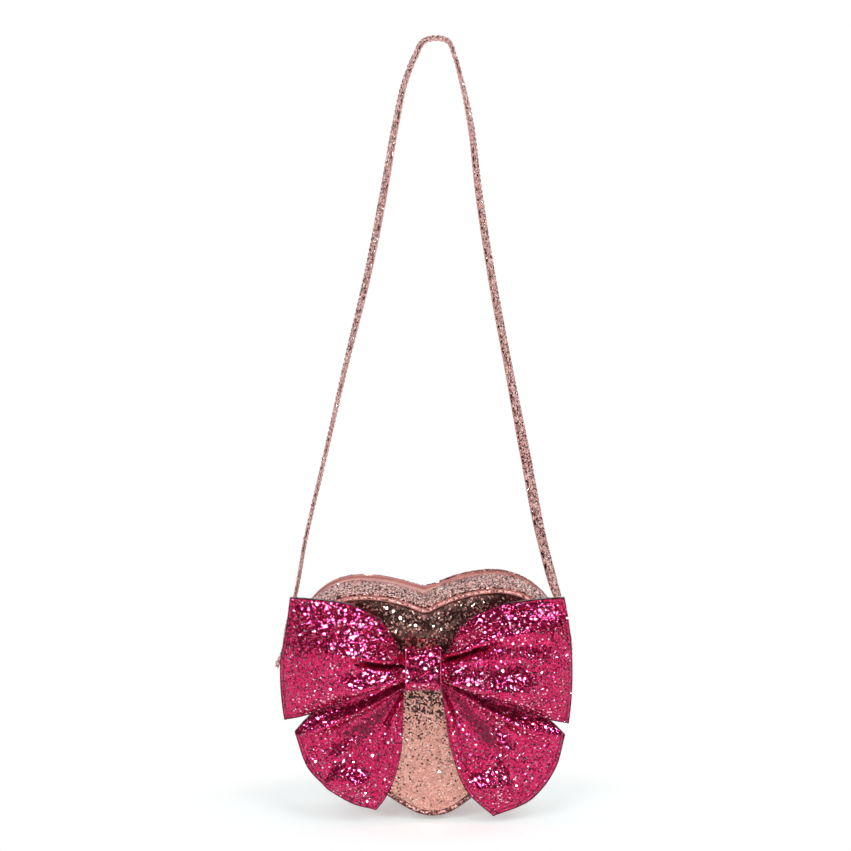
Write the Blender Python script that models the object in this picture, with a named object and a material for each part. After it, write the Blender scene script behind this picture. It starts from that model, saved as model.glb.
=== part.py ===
"""Heart-shaped glitter shoulder bag with a large bow, hanging from its long strap.

Metres, +Z up, the front faces -Y. The origin is the underside of the strap's top,
which lies on the hook or shoulder. The bag is built in its own frame, whose middle
is the middle of the heart, and the bow in a frame at the middle of its knot.
"""
import math

import bmesh
import bpy
import numpy as np

# Clearances
SEAM_GAP = 0.0003
OVERRUN = 0.002

# Place of the bag under the strap
BAG_DROP = 0.4417
BAG_SHIFT = -0.0048
BAG_SETBACK = 0.0097
BAG_ROLL = math.radians(2.5)

# Heart outline of the panels: two lobes, two crown arcs, a notch and a rounded tip
HEART_HEIGHT = 0.156
LOBE_RADIUS = 0.047
LOBE_SPREAD = 0.0455
NOTCH_DEPTH = 0.0122
NOTCH_FILLET = 0.008
TIP_RADIUS = 0.0287
TIP_SLOPE = math.radians(31)
SIDE_PULL = 0.026
FLANK_PULL = 0.042
SEAM_ANGLE = math.radians(-12)
OUTLINE_STEP = 0.009

# Depth of the bag and its layers
BAG_DEPTH = 0.055
GUSSET_BULGE = 0.003
PANEL_CROWN = 0.002
CLOTH = 0.0012
PADDING = 0.003
STIFFENER = 0.0015
LINING = 0.0006
PIPING_RADIUS = 0.0015
PIPING_SIDES = 6

# Zip, whose middle keeps its distance from the bag's back
ZIP_FROM_BACK = 0.0145
ZIP_SHOW = 0.0085
TAPE_TUCK = 0.002
TAPE_CLOTH = 0.0006
COIL_WIDTH = 0.0022
COIL_HEIGHT = 0.0009
COIL_RIB = 0.0004
COIL_PITCH = 0.004
COIL_SLOT = 0.001

# Zip slider, its crown and its pull
SLIDER_LENGTH = 0.0095
SLIDER_WIDTH = 0.0085
SLIDER_PLATE = 0.0012
SLIDER_FLANGE = 0.0009
SLIDER_WEB = 0.0005
SLIDER_FIT = 0.0004
SLIDER_UNDER_FIT = 0.0011
CROWN_LENGTH = 0.0062
CROWN_WIDTH = 0.0022
CROWN_BAR = 0.0006
PULL_LENGTH = 0.024
PULL_WIDTH = 0.0062
PULL_SHEET = 0.0009
PULL_EYE_LENGTH = 0.0044
PULL_EYE_WIDTH = 0.0032
PULL_LIFT = 0.00075

# Strap: two plies that run from one sewn end over the top to the other
STRAP_WIDTH = 0.011
STRAP_PLY = 0.001
STRAP_END_LENGTH = 0.0146
STRAP_STANDOFF = 0.0009
ANCHOR_ANGLE = math.radians(11.5)
ANCHOR_HUG = 0.024
SOCKET_ANGLE = math.radians(45)
STRAP_STEPS = 3

# Course of each leg, from the top to its anchor: shares of the anchor's distance to
# the side, shares of its depth, and the twist of the glitter face to the front
LEFT_SIDE_SHARES = (0.076, 0.136, 0.193, 0.257, 0.331, 0.444, 0.585, 0.719, 0.857, 0.926)
LEFT_DEPTH_SHARES = (0.004, 0.029, 0.064, 0.134, 0.240, 0.383, 0.528, 0.675, 0.824, 0.916)
LEFT_TWIST = (8, 9, 10, 14, 18, 16, 7, 2, 0, 0)
RIGHT_SIDE_SHARES = (0.078, 0.132, 0.176, 0.246, 0.306, 0.408, 0.533, 0.665, 0.802, 0.878)
RIGHT_DEPTH_SHARES = (0.004, 0.030, 0.065, 0.137, 0.246, 0.392, 0.541, 0.692, 0.845, 0.928)
RIGHT_TWIST = (8, 6, 8, 15, 20, 24, 26, 36, 28, 16)
TOP_TWIST = 8

# Bow, in a frame at the middle of its knot
BOW_SIDE = -0.0039
BOW_HEIGHT = 0.0292
BOW_CLOTH = 0.0012
FOAM_SHARE = 0.3
LOOP_SPAN_LEFT = 0.095
LOOP_SPAN_RIGHT = 0.100
LOOP_RISE = 0.050
LOOP_FALL = 0.034
LOOP_PUFF = 0.017
LOOP_BACK_PUFF = 0.004
LOOP_FOLD = 0.004
LOOP_CLEARANCE = 0.0004
NECK_LIFT = 0.004
NECK_BACK = 0.0055
KNOT_WIDTH = 0.0246
KNOT_HEIGHT = 0.029
KNOT_DEPTH = 0.0225
KNOT_ROUND = 0.0035
KNOT_RAISE = 0.0015
KNOT_TUCK = 0.004
TAIL_REACH_LEFT = 0.0858
TAIL_DROP_LEFT = 0.0977
TAIL_REACH_RIGHT = 0.0945
TAIL_DROP_RIGHT = 0.1026
TAIL_FOLD = 0.0012
TAIL_NECK = 0.008

# Loop stations from the knot to the outer edge, and from the lower to the upper edge
LOOP_REACH_SHARES = (0.0, 0.06, 0.16, 0.3, 0.45, 0.6, 0.75, 0.86, 0.93, 1.0)
LOOP_CROSS_SHARES = (-1.0, -0.94, -0.88, -0.6, -0.3, 0.0, 0.3, 0.6, 0.88, 0.94, 1.0)
RISE_SHARES = ((0.0, 0.22), (0.06, 0.24), (0.2, 0.60), (0.45, 0.87), (0.7, 0.96), (1.0, 1.0))
LEAST_HOLLOW_SHARE = 0.3
FALL_SHARES = ((0.0, 0.30), (0.06, 0.33), (0.3, 0.55), (0.5, 0.74), (0.7, 0.88), (1.0, 1.0))
PUFF_SHARES = ((0.0, 0.40), (0.06, 0.42), (0.16, 0.72), (0.4, 1.0), (0.7, 0.84), (0.9, 0.45), (1.0, 0.07))
EDGE_ROUND_SHARE = 0.048
EDGE_MIDDLE_SHARE = 0.25

# Tail stations, the inner edge after the neck, and the far edge up to the corner
TAIL_REACH_SHARES = (0.0, 0.08, 0.2, 0.35, 0.5, 0.65, 0.8, 0.9, 1.0)
TAIL_CROSS_SHARES = (-1.0, -0.75, -0.5, -0.25, 0.0, 0.25, 0.5, 0.75, 1.0)
TAIL_INNER_LEFT_SHARES = ((0.154, 0.1), (0.151, 0.25), (0.168, 0.6), (0.27, 0.88), (0.365, 1.0))
TAIL_INNER_RIGHT_SHARES = ((0.14, 0.095), (0.15, 0.24), (0.205, 0.57), (0.33, 0.85), (0.498, 1.0))
TAIL_INNER_REACH_SHARES = (0.0, 0.08, 0.2, 0.5, 0.8, 1.0)
TAIL_FAR_LEFT_SHARES = ((0.365, 1.0), (0.607, 0.926), (0.887, 0.706), (1.0, 0.43))
TAIL_FAR_RIGHT_SHARES = ((0.498, 1.0), (0.761, 0.891), (0.931, 0.684), (1.0, 0.435))

FRONT_Y = -BAG_DEPTH / 2
BACK_Y = BAG_DEPTH / 2
ZIP_Y = BACK_Y - ZIP_FROM_BACK
GUSSET_FRONT_Y = FRONT_Y + 2 * PIPING_RADIUS + SEAM_GAP
GUSSET_BACK_Y = BACK_Y - 2 * PIPING_RADIUS - SEAM_GAP
PANEL_INSET = 2 * PIPING_RADIUS + SEAM_GAP


def clear_scene():
    for thing in list(bpy.data.objects):
        bpy.data.objects.remove(thing, do_unlink=True)


def finish_material(name, colour, roughness, metallic):
    material = bpy.data.materials.new(name)
    material.use_nodes = True
    shader = material.node_tree.nodes["Principled BSDF"]
    shader.inputs["Base Color"].default_value = (*colour, 1.0)
    shader.inputs["Roughness"].default_value = roughness
    shader.inputs["Metallic"].default_value = metallic
    material.diffuse_color = (*colour, 1.0)
    return material


def empty(name, location, rotation_y=0.0, parent=None):
    marker = bpy.data.objects.new(name, None)
    marker.location = location
    marker.rotation_euler = (0, rotation_y, 0)
    marker.parent = parent
    bpy.context.collection.objects.link(marker)
    return marker


def solid(name, points, faces, material, parent=None):
    """One closed body from points and faces, with its faces turned outwards."""
    mesh = bpy.data.meshes.new(name)
    mesh.from_pydata([tuple(point) for point in points], [], faces)
    shape = bmesh.new()
    shape.from_mesh(mesh)
    bmesh.ops.recalc_face_normals(shape, faces=shape.faces)
    shape.to_mesh(mesh)
    shape.free()
    mesh.shade_smooth()
    mesh.set_sharp_from_angle(angle=math.radians(35))
    mesh.materials.append(material)
    thing = bpy.data.objects.new(name, mesh)
    thing.parent = parent
    bpy.context.collection.objects.link(thing)
    return thing


def smooth_curve(knots, values, where):
    """Cubic through the values at the knots, with slopes from their neighbours."""
    knots = np.asarray(knots, float)
    values = np.asarray(values, float)
    slopes = np.gradient(values, knots, axis=0)
    where = np.clip(np.asarray(where, float), knots[0], knots[-1])
    left = np.clip(np.searchsorted(knots, where, side="right") - 1, 0, len(knots) - 2)
    width = knots[left + 1] - knots[left]
    t = (where - knots[left]) / width
    if values.ndim > 1:
        t = t[..., None]
        width = width[..., None]
    return ((2 * t**3 - 3 * t**2 + 1) * values[left] + (t**3 - 2 * t**2 + t) * width * slopes[left]
            + (3 * t**2 - 2 * t**3) * values[left + 1] + (t**3 - t**2) * width * slopes[left + 1])


# Heart outline

def arc(centre, radius, start, end, step, outward=1):
    count = max(2, math.ceil(abs(end - start) * radius / step))
    angles = np.linspace(start, end, count + 1)
    ray = np.column_stack([np.cos(angles), np.sin(angles)])
    return np.asarray(centre) + radius * ray, outward * ray


def crown_arc_values():
    """Centre height and radius of the flat arc between the notch and a lobe's top."""
    radius = (LOBE_SPREAD**2 + NOTCH_DEPTH**2) / (2 * NOTCH_DEPTH)
    return HEART_HEIGHT / 2 - radius, radius


def lobe_centre_height():
    return HEART_HEIGHT / 2 - LOBE_RADIUS


def upper_half(step):
    """Right half of the outline from the notch to the seam below the lobe."""
    crown_height, crown_radius = crown_arc_values()
    reach = crown_radius + NOTCH_FILLET
    turn = math.asin(LOBE_SPREAD / reach)
    notch = (0, crown_height + math.sqrt(reach**2 - LOBE_SPREAD**2))
    quarter = math.pi / 2
    parts = [
        arc(notch, NOTCH_FILLET, -quarter, turn - quarter, step, outward=-1),
        arc((LOBE_SPREAD, crown_height), crown_radius, quarter + turn, quarter, step),
        arc((LOBE_SPREAD, lobe_centre_height()), LOBE_RADIUS, quarter, SEAM_ANGLE, step),
    ]
    return chain(parts)


def lower_half(step):
    """Right half of the outline from the seam down the flank to the tip."""
    seam = np.array([math.cos(SEAM_ANGLE), math.sin(SEAM_ANGLE)])
    start = np.array([LOBE_SPREAD, lobe_centre_height()]) + LOBE_RADIUS * seam
    tip = np.array([0, TIP_RADIUS - HEART_HEIGHT / 2])
    leave = TIP_SLOPE - math.pi / 2
    end = tip + TIP_RADIUS * np.array([math.cos(leave), math.sin(leave)])
    down = np.array([math.sin(SEAM_ANGLE), -math.cos(SEAM_ANGLE)])
    up = np.array([math.cos(TIP_SLOPE), math.sin(TIP_SLOPE)])
    pulls = (start, start + SIDE_PULL * down, end + FLANK_PULL * up, end)
    count = math.ceil((np.linalg.norm(start - end) + OUTLINE_STEP) / step)
    t = np.linspace(0, 1, count + 1)[:, None]
    points = ((1 - t)**3 * pulls[0] + 3 * t * (1 - t)**2 * pulls[1]
              + 3 * t**2 * (1 - t) * pulls[2] + t**3 * pulls[3])
    ahead = ((1 - t)**2 * (pulls[1] - pulls[0]) + 2 * t * (1 - t) * (pulls[2] - pulls[1])
             + t**2 * (pulls[3] - pulls[2]))
    normals = np.column_stack([-ahead[:, 1], ahead[:, 0]])
    normals /= np.linalg.norm(normals, axis=1)[:, None]
    return chain([(points, normals), arc(tip, TIP_RADIUS, leave, -math.pi / 2, step)])


def chain(parts):
    points = np.concatenate([parts[0][0]] + [part[0][1:] for part in parts[1:]])
    normals = np.concatenate([parts[0][1]] + [part[1][1:] for part in parts[1:]])
    return points, normals


def mirrored(half):
    flip = np.array([-1, 1])
    return half[0][::-1] * flip, half[1][::-1] * flip


def zip_course(step):
    """From the right seam over both lobes to the left seam."""
    half = upper_half(step)
    points, normals = chain([mirrored(half), half])
    return points[::-1], normals[::-1]


def base_course(step):
    """From the right seam round the tip to the left seam."""
    half = lower_half(step)
    return chain([half, mirrored(half)])


def full_outline(step):
    upper, lower = upper_half(step), lower_half(step)
    right = chain([upper, lower])
    points, normals = chain([right, mirrored(right)])
    return points[:-1], normals[:-1]


def bulge(depth):
    """How far the gusset stands out at a depth, most in its middle."""
    return GUSSET_BULGE * (1 - (2 * np.asarray(depth) / BAG_DEPTH)**2)


def skin_section(front, back, top, thickness, count):
    """Section of a layer of the gusset: its outer line, then its inner line back."""
    depths = np.linspace(front, back, count)
    outer = np.column_stack([bulge(depths) - top, depths])
    inner = np.column_stack([bulge(depths) - top - thickness, depths])
    return np.concatenate([outer, inner[::-1]])


def sweep(name, course, section, closed, material, parent):
    """Carry a section, as pairs of outward offset and depth, along a course."""
    points, normals = course
    section = np.asarray(section, float)
    if section.ndim == 2:
        section = np.broadcast_to(section, (len(points), *section.shape))
    rings, sides = section.shape[:2]
    flat = points[:, None, :] + normals[:, None, :] * section[..., :1]
    places = np.stack([flat[..., 0], section[..., 1], flat[..., 1]], axis=-1).reshape(-1, 3)
    faces = []
    for ring in range(rings if closed else rings - 1):
        after = (ring + 1) % rings
        for side in range(sides):
            beside = (side + 1) % sides
            faces.append((ring * sides + side, ring * sides + beside,
                          after * sides + beside, after * sides + side))
    if not closed:
        faces.append(tuple(range(sides)))
        faces.append(tuple((rings - 1) * sides + side for side in range(sides)))
    return solid(name, places, faces, material, parent)


def plate(name, levels, material, parent):
    """Heart-shaped plate from levels, each an inward offset, a share and a depth."""
    points, normals = full_outline(OUTLINE_STEP)
    count = len(points)
    middle = np.array([0, lobe_centre_height() / 2])
    places = []
    for inset, share, depth in levels:
        ring = middle + (points - normals * inset - middle) * share
        places.append(np.column_stack([ring[:, 0], np.full(count, depth), ring[:, 1]]))
    faces = [tuple(range(count))]
    for level in range(len(levels) - 1):
        for side in range(count):
            beside = (side + 1) % count
            faces.append((level * count + side, level * count + beside,
                          (level + 1) * count + beside, (level + 1) * count + side))
    faces.append(tuple((len(levels) - 1) * count + side for side in range(count)))
    return solid(name, np.concatenate(places), faces, material, parent)


# Panels, piping and gusset

CROWN_SHARES = ((1.0, 0.0), (0.7, 1.0))


def crowned_levels(inset, outer_depth, inner_depth):
    """Levels of a plate whose two faces swell to the front towards the middle."""
    front = [(inset, share, outer_depth - PANEL_CROWN * lift) for share, lift in CROWN_SHARES]
    back = [(inset, share, inner_depth - PANEL_CROWN * lift) for share, lift in CROWN_SHARES]
    return front[::-1] + back


def make_front(bag, finish):
    depth = FRONT_Y
    for name, inset, thickness, slot in (("front_panel", PANEL_INSET, CLOTH, "panel"),
                                         ("front_padding", PANEL_INSET + CLOTH, PADDING, "foam"),
                                         ("front_lining", PANEL_INSET + CLOTH, LINING, "lining")):
        plate(name, crowned_levels(inset, depth, depth + thickness), finish[slot], bag)
        depth += thickness + SEAM_GAP


def make_back(bag, finish):
    depth = BACK_Y
    for name, inset, thickness, slot in (("back_panel", PANEL_INSET, CLOTH, "gusset"),
                                         ("back_padding", PANEL_INSET + CLOTH, PADDING, "foam"),
                                         ("back_lining", PANEL_INSET + CLOTH, LINING, "lining")):
        plate(name, [(inset, 1, depth), (inset, 1, depth - thickness)], finish[slot], bag)
        depth -= thickness + SEAM_GAP


def make_piping(bag, finish):
    angles = np.linspace(0, 2 * math.pi, PIPING_SIDES, endpoint=False) + math.pi / PIPING_SIDES
    round_section = PIPING_RADIUS * np.column_stack([np.cos(angles), np.sin(angles)])
    course = full_outline(OUTLINE_STEP)
    for name, depth in (("front_piping", FRONT_Y + PIPING_RADIUS), ("back_piping", BACK_Y - PIPING_RADIUS)):
        section = round_section + np.array([-PIPING_RADIUS, depth])
        sweep(name, course, section, True, finish["smooth_pink"], bag)


def make_gusset(bag, finish):
    """The band round the base, in three layers that end at the seams under the lobes."""
    course = base_course(OUTLINE_STEP)
    top = 0.0
    for name, thickness, slot in (("gusset_band", CLOTH, "gusset"), ("gusset_stiffener", STIFFENER, "foam"),
                                  ("gusset_lining", LINING, "lining")):
        section = skin_section(GUSSET_FRONT_Y, GUSSET_BACK_Y, top, thickness, 6)
        sweep(name, course, section, False, finish[slot], bag)
        top += thickness + SEAM_GAP


# Zip

def tab_angle():
    """Angle from the seam to the end of the tab, which the closed slider nearly touches."""
    slider_end = math.atan(SLIDER_LENGTH / 2 / (LOBE_RADIUS - CLOTH - SLIDER_PLATE))
    return -BAG_ROLL - slider_end - SEAM_GAP / LOBE_RADIUS - SEAM_ANGLE


def shortened(course, angle):
    """The course without an angle of the round lobe at each end."""
    points, normals = course
    steps = np.linalg.norm(np.diff(points, axis=0), axis=1)
    run = np.concatenate([[0], np.cumsum(steps)])
    length = angle * LOBE_RADIUS + SEAM_GAP
    keep = (run > length) & (run < run[-1] - length)
    ends = []
    for side in (1, -1):
        ray = np.array([side * math.cos(SEAM_ANGLE + angle), math.sin(SEAM_ANGLE + angle)])
        ends.append((np.array([side * LOBE_SPREAD, lobe_centre_height()]) + LOBE_RADIUS * ray, ray))
    return (np.concatenate([[ends[0][0]], points[keep], [ends[1][0]]]),
            np.concatenate([[ends[0][1]], normals[keep], [ends[1][1]]]))


def make_zip_strips(bag, finish):
    course = shortened(zip_course(OUTLINE_STEP), SEAM_GAP / LOBE_RADIUS)
    edges = {"zip_strip_front": (GUSSET_FRONT_Y, ZIP_Y - ZIP_SHOW, 4),
             "zip_strip_back": (ZIP_Y + ZIP_SHOW, GUSSET_BACK_Y, 2)}
    for name, (front, back, count) in edges.items():
        sweep(name, course, skin_section(front, back, 0, CLOTH, count), False, finish["gusset"], bag)


def make_zip_tapes(bag, finish):
    course = shortened(zip_course(OUTLINE_STEP), SEAM_GAP / LOBE_RADIUS)
    depth = CLOTH + SEAM_GAP
    half_slot = COIL_SLOT / 2
    reach = ZIP_SHOW + TAPE_TUCK
    for name, near, far in (("zip_tape_front", -reach, -half_slot), ("zip_tape_back", half_slot, reach)):
        section = skin_section(ZIP_Y + near, ZIP_Y + far, depth, TAPE_CLOTH, 2)
        sweep(name, course, section, False, finish["smooth_pink"], bag)


def make_zip_coils(bag, finish):
    """Each coil is a low bar on its tape, with a rib at every pitch."""
    points, normals = shortened(zip_course(COIL_PITCH / 2), tab_angle())
    bottom = CLOTH
    ribs = np.where(np.arange(len(points)) % 2, COIL_RIB, 0.0)
    for name, side in (("zip_coil_front", -1), ("zip_coil_back", 1)):
        depths = ZIP_Y + side * np.array([COIL_SLOT / 2, COIL_SLOT / 2 + COIL_WIDTH])
        section = np.empty((len(points), 4, 2))
        section[:, :, 1] = np.array([depths[0], depths[1], depths[1], depths[0]])
        section[:, :, 0] = bulge(section[:, :, 1]) - bottom
        section[:, 2:, 0] += COIL_HEIGHT + ribs[:, None]
        sweep(name, (points, normals), section, False, finish["coil"], bag)


def make_zip_tabs(bag, finish):
    """A cloth tab over each end of the zip, between the two strips."""
    for name, side in (("zip_end_tab_right", 1), ("zip_end_tab_left", -1)):
        gap = SEAM_GAP / LOBE_RADIUS
        angles = SEAM_ANGLE + np.linspace(gap, tab_angle() - gap, 3)
        ray = np.column_stack([side * np.cos(angles), np.sin(angles)])
        course = (np.array([side * LOBE_SPREAD, lobe_centre_height()]) + LOBE_RADIUS * ray, ray)
        half = ZIP_SHOW - SEAM_GAP
        section = skin_section(ZIP_Y - half, ZIP_Y + half, 0, CLOTH, 3)
        sweep(name, course, section, False, finish["gusset"], bag)


def zip_radius():
    """Radius of the gusset's surface at the zip, from the middle of the lobe."""
    return LOBE_RADIUS + float(bulge(ZIP_Y))


def prism(name, outline, low, high, axes, material, parent):
    """Solid between two planes: the outline lies in the first two axes."""
    count = len(outline)
    places = np.zeros((2 * count, 3))
    places[:, axes[0]] = [point[0] for point in outline] * 2
    places[:, axes[1]] = [point[1] for point in outline] * 2
    places[:count, axes[2]] = low
    places[count:, axes[2]] = high
    faces = [tuple(range(count)), tuple(range(count, 2 * count))]
    for side in range(count):
        beside = (side + 1) % count
        faces.append((side, beside, count + beside, count + side))
    return solid(name, places, faces, material, parent)


def make_slider(slider_axis, finish):
    """Slider at the closed end: X is outwards from the lobe, Z along the zip."""
    surface = zip_radius()
    coil_half = COIL_SLOT / 2 + COIL_WIDTH
    coil_top = surface - CLOTH + COIL_HEIGHT + COIL_RIB
    under = coil_top + SLIDER_FIT
    top = under + SLIDER_PLATE
    tape_bottom = surface - CLOTH - SEAM_GAP - TAPE_CLOTH
    inner_top = tape_bottom - SLIDER_UNDER_FIT
    inner_bottom = inner_top - SLIDER_PLATE
    flange_end = surface - CLOTH + SLIDER_FIT
    half = SLIDER_WIDTH / 2
    inner_half = coil_half + SLIDER_FIT
    web = SLIDER_WEB / 2
    right = [(top, half), (flange_end, half), (flange_end, inner_half), (under, inner_half),
             (under, web), (inner_top, web), (inner_top, inner_half), (inner_bottom, inner_half)]
    outline = right + [(height, -depth) for height, depth in right[::-1]]
    outline = [(height, ZIP_Y + depth) for height, depth in outline]
    prism("zip_slider", outline, -SLIDER_LENGTH / 2, SLIDER_LENGTH / 2, (0, 1, 2), finish["metal"], slider_axis)
    return top


def make_slider_crown(slider_axis, top, finish):
    """The small arch on the slider that holds the pull."""
    foot = top + SEAM_GAP
    inner = top + 2 * PULL_LIFT
    outer = inner + CROWN_BAR
    half = CROWN_LENGTH / 2
    bend = CROWN_BAR
    arch = [(foot, half), (inner, half), (outer, half - bend), (outer, bend - half), (inner, -half),
            (foot, -half), (foot, CROWN_BAR - half), (inner, CROWN_BAR - half),
            (inner, half - CROWN_BAR), (foot, half - CROWN_BAR)]
    prism("zip_slider_crown", arch, ZIP_Y - CROWN_WIDTH / 2, ZIP_Y + CROWN_WIDTH / 2,
          (0, 2, 1), finish["metal"], slider_axis)


def make_pull(slider_axis, top, finish):
    """Flat metal pull with an eye, hanging from the crown at its own axis."""
    pivot = empty("pull_axis", (top + PULL_LIFT, ZIP_Y, 0), parent=slider_axis)
    half = PULL_WIDTH / 2
    bar = PULL_SHEET / 2
    neck = PULL_EYE_WIDTH / 2 + PULL_SHEET
    outline = [(bar, -neck), (bar, neck), (-PULL_EYE_LENGTH, neck), (-PULL_LENGTH + neck, half),
               (-PULL_LENGTH, half - bar), (-PULL_LENGTH, bar - half), (-PULL_LENGTH + neck, -half),
               (-PULL_EYE_LENGTH, -neck)]
    pull = prism("zip_pull", outline, -bar, bar, (2, 1, 0), finish["metal"], pivot)
    eye = [(-bar, -PULL_EYE_WIDTH / 2), (-bar, PULL_EYE_WIDTH / 2),
           (-PULL_EYE_LENGTH, PULL_EYE_WIDTH / 2), (-PULL_EYE_LENGTH, -PULL_EYE_WIDTH / 2)]
    cutter = prism("pull_eye_cutter", eye, -OVERRUN, OVERRUN, (2, 1, 0), finish["metal"], pivot)
    cutter.hide_render = True
    cutter.display_type = "WIRE"
    cut = pull.modifiers.new("eye", "BOOLEAN")
    cut.operation = "DIFFERENCE"
    cut.object = cutter


# Strap

def anchor_radius():
    """Radius, from the lobe's middle, of the strap's middle plane at its anchor."""
    return LOBE_RADIUS + GUSSET_BULGE + STRAP_STANDOFF + STRAP_PLY


def anchor_in_bag(side):
    radius = anchor_radius()
    return np.array([side * (LOBE_SPREAD + radius * math.cos(ANCHOR_ANGLE)),
                     lobe_centre_height() + radius * math.sin(ANCHOR_ANGLE)])


def world_from_bag(point):
    """Place in the world's XZ plane of a point of the bag's frame."""
    cos, sin = math.cos(BAG_ROLL), math.sin(BAG_ROLL)
    return np.array([BAG_SHIFT + cos * point[0] - sin * point[1],
                     -BAG_DROP + sin * point[0] + cos * point[1]])


def hugging_points(side):
    """The last stretch of a leg above its anchor, which follows the lobe's curve."""
    lean = ANCHOR_ANGLE + np.array([1.0, 0.66, 0.33]) * ANCHOR_HUG * math.sqrt(0.5) / anchor_radius()
    rise = np.array([1.0, 0.66, 0.33]) * ANCHOR_HUG
    base = anchor_in_bag(side)
    across = anchor_radius() * np.cos(lean) - anchor_radius() * math.cos(ANCHOR_ANGLE)
    return [world_from_bag(base + np.array([side * step, up])) for step, up in zip(across, rise)]


def strap_course():
    """Middle line of the strap, its outward normals and its width directions."""
    legs = {}
    tables = {-1: (LEFT_SIDE_SHARES, LEFT_DEPTH_SHARES, LEFT_TWIST),
              1: (RIGHT_SIDE_SHARES, RIGHT_DEPTH_SHARES, RIGHT_TWIST)}
    middle = STRAP_PLY + SEAM_GAP / 2
    for side, (across, down, twist) in tables.items():
        anchor = world_from_bag(anchor_in_bag(side))
        route = [np.array([anchor[0] * a, middle + (anchor[1] - middle) * d]) for a, d in zip(across, down)]
        route = [point for point in route if point[1] > anchor[1] + ANCHOR_HUG + STRAP_WIDTH / 2]
        turns = list(twist[:len(route)]) + [0, 0, 0, 0]
        legs[side] = (route + hugging_points(side) + [anchor], turns)
    points = legs[-1][0][::-1] + [np.array([0, middle])] + legs[1][0]
    twists = legs[-1][1][::-1] + [TOP_TWIST] + legs[1][1]
    knots = np.concatenate([[0], np.cumsum([np.linalg.norm(b - a) for a, b in zip(points, points[1:])])])
    where = np.concatenate([np.linspace(a, b, STRAP_STEPS, endpoint=False)
                            for a, b in zip(knots, knots[1:])] + [knots[-1:]])
    line = smooth_curve(knots, np.array(points), where)
    twist = np.radians(smooth_curve(knots, np.array(twists, float), where))
    tangent = np.gradient(line, where, axis=0)
    for index, side in ((0, -1), (-1, 1)):
        lean = ANCHOR_ANGLE + side * BAG_ROLL
        tangent[index] = (math.sin(lean), -side * math.cos(lean))
    tangent /= np.linalg.norm(tangent, axis=1)[:, None]
    return line, tangent, twist


def strap_rings(line, tangent, twist, half_widths, near, far):
    """Four corners at each station, at two offsets from the strap's middle plane."""
    outward = np.column_stack([-tangent[:, 1], np.zeros(len(line)), tangent[:, 0]])
    depth = np.array([0.0, 1.0, 0.0])
    turn = twist[:, None]
    face = np.cos(turn) * outward - np.sin(turn) * depth
    width = np.cos(turn) * depth + np.sin(turn) * outward
    middle = np.column_stack([line[:, 0], np.zeros(len(line)), line[:, 1]])
    half = half_widths[:, None]
    corners = [middle - width * half + face * near, middle + width * half + face * near,
               middle + width * half + face * far, middle - width * half + face * far]
    return np.stack(corners, axis=1)


def with_round_ends(line, tangent, twist):
    """Adds half-round ends about the two anchors, on which the bag swings."""
    angles = np.radians([80, 60, 35])
    half = STRAP_WIDTH / 2
    beyond = half * np.sin(angles)[:, None]
    start = line[0] - tangent[0] * beyond
    end = line[-1] + tangent[-1] * beyond[::-1]
    widths = half * np.cos(angles)
    count = len(angles)
    return (np.concatenate([start, line, end]),
            np.concatenate([np.repeat(tangent[:1], count, 0), tangent, np.repeat(tangent[-1:], count, 0)]),
            np.concatenate([np.zeros(count), twist, np.zeros(count)]),
            np.concatenate([widths, np.full(len(line), half), widths[::-1]]))


def ribbon_faces(rings, sides):
    """Ends and triangles of a twisting bar, split alike on its two broad sides."""
    faces = [tuple(range(sides)), tuple((rings - 1) * sides + side for side in range(sides))]
    for ring in range(rings - 1):
        for side in range(sides):
            here, beside = ring * sides + side, ring * sides + (side + 1) % sides
            if side < sides / 2:
                here, beside = beside, here
            faces.append((here, beside, here + sides))
            faces.append((beside, beside + sides, here + sides))
    return faces


PLIES = (("face", SEAM_GAP / 2, SEAM_GAP / 2 + STRAP_PLY),
         ("backing", -SEAM_GAP / 2, -SEAM_GAP / 2 - STRAP_PLY))


def make_strap(finish):
    line, tangent, twist, widths = with_round_ends(*strap_course())
    for ply, near, far in PLIES:
        rings = strap_rings(line, tangent, twist, widths, near, far)
        slot = "gusset" if ply == "face" else "smooth_pink"
        faces = ribbon_faces(*rings.shape[:2])
        solid(f"strap_{ply}", rings.reshape(-1, 3), faces, finish[slot])


def make_strap_ends(bag, finish):
    """The sewn ends: each has a hollow top edge, in which the leg's round end turns."""
    radius = STRAP_WIDTH / 2 + SEAM_GAP
    half = STRAP_WIDTH / 2
    angles = np.linspace(-SOCKET_ANGLE, SOCKET_ANGLE, 7)
    hollow = [(-BAG_SETBACK + radius * math.sin(a), -radius * math.cos(a)) for a in angles]
    shoulder = -radius * math.cos(SOCKET_ANGLE)
    outline = [(-BAG_SETBACK - half, -STRAP_END_LENGTH), (-BAG_SETBACK - half, shoulder)] + hollow
    outline += [(-BAG_SETBACK + half, shoulder), (-BAG_SETBACK + half, -STRAP_END_LENGTH)]
    for name, side in (("left", -1), ("right", 1)):
        across, up = anchor_in_bag(side)
        lean = empty(f"strap_end_{name}_line", (across, 0, up), -side * ANCHOR_ANGLE, bag)
        for ply, near, far in PLIES:
            slot = "gusset" if ply == "face" else "smooth_pink"
            prism(f"strap_end_{ply}_{name}", outline, side * near, side * far, (1, 2, 0), finish[slot], lean)


# Bow

def bow_levels():
    """Depths of the tails' middle and of the loops' seam, in front of the panel."""
    tail = FRONT_Y - PANEL_CROWN - 2 * SEAM_GAP - 2 * BOW_CLOTH
    loop = tail - TAIL_FOLD - BOW_CLOTH - LOOP_CLEARANCE - LOOP_BACK_PUFF
    return tail, loop


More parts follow.
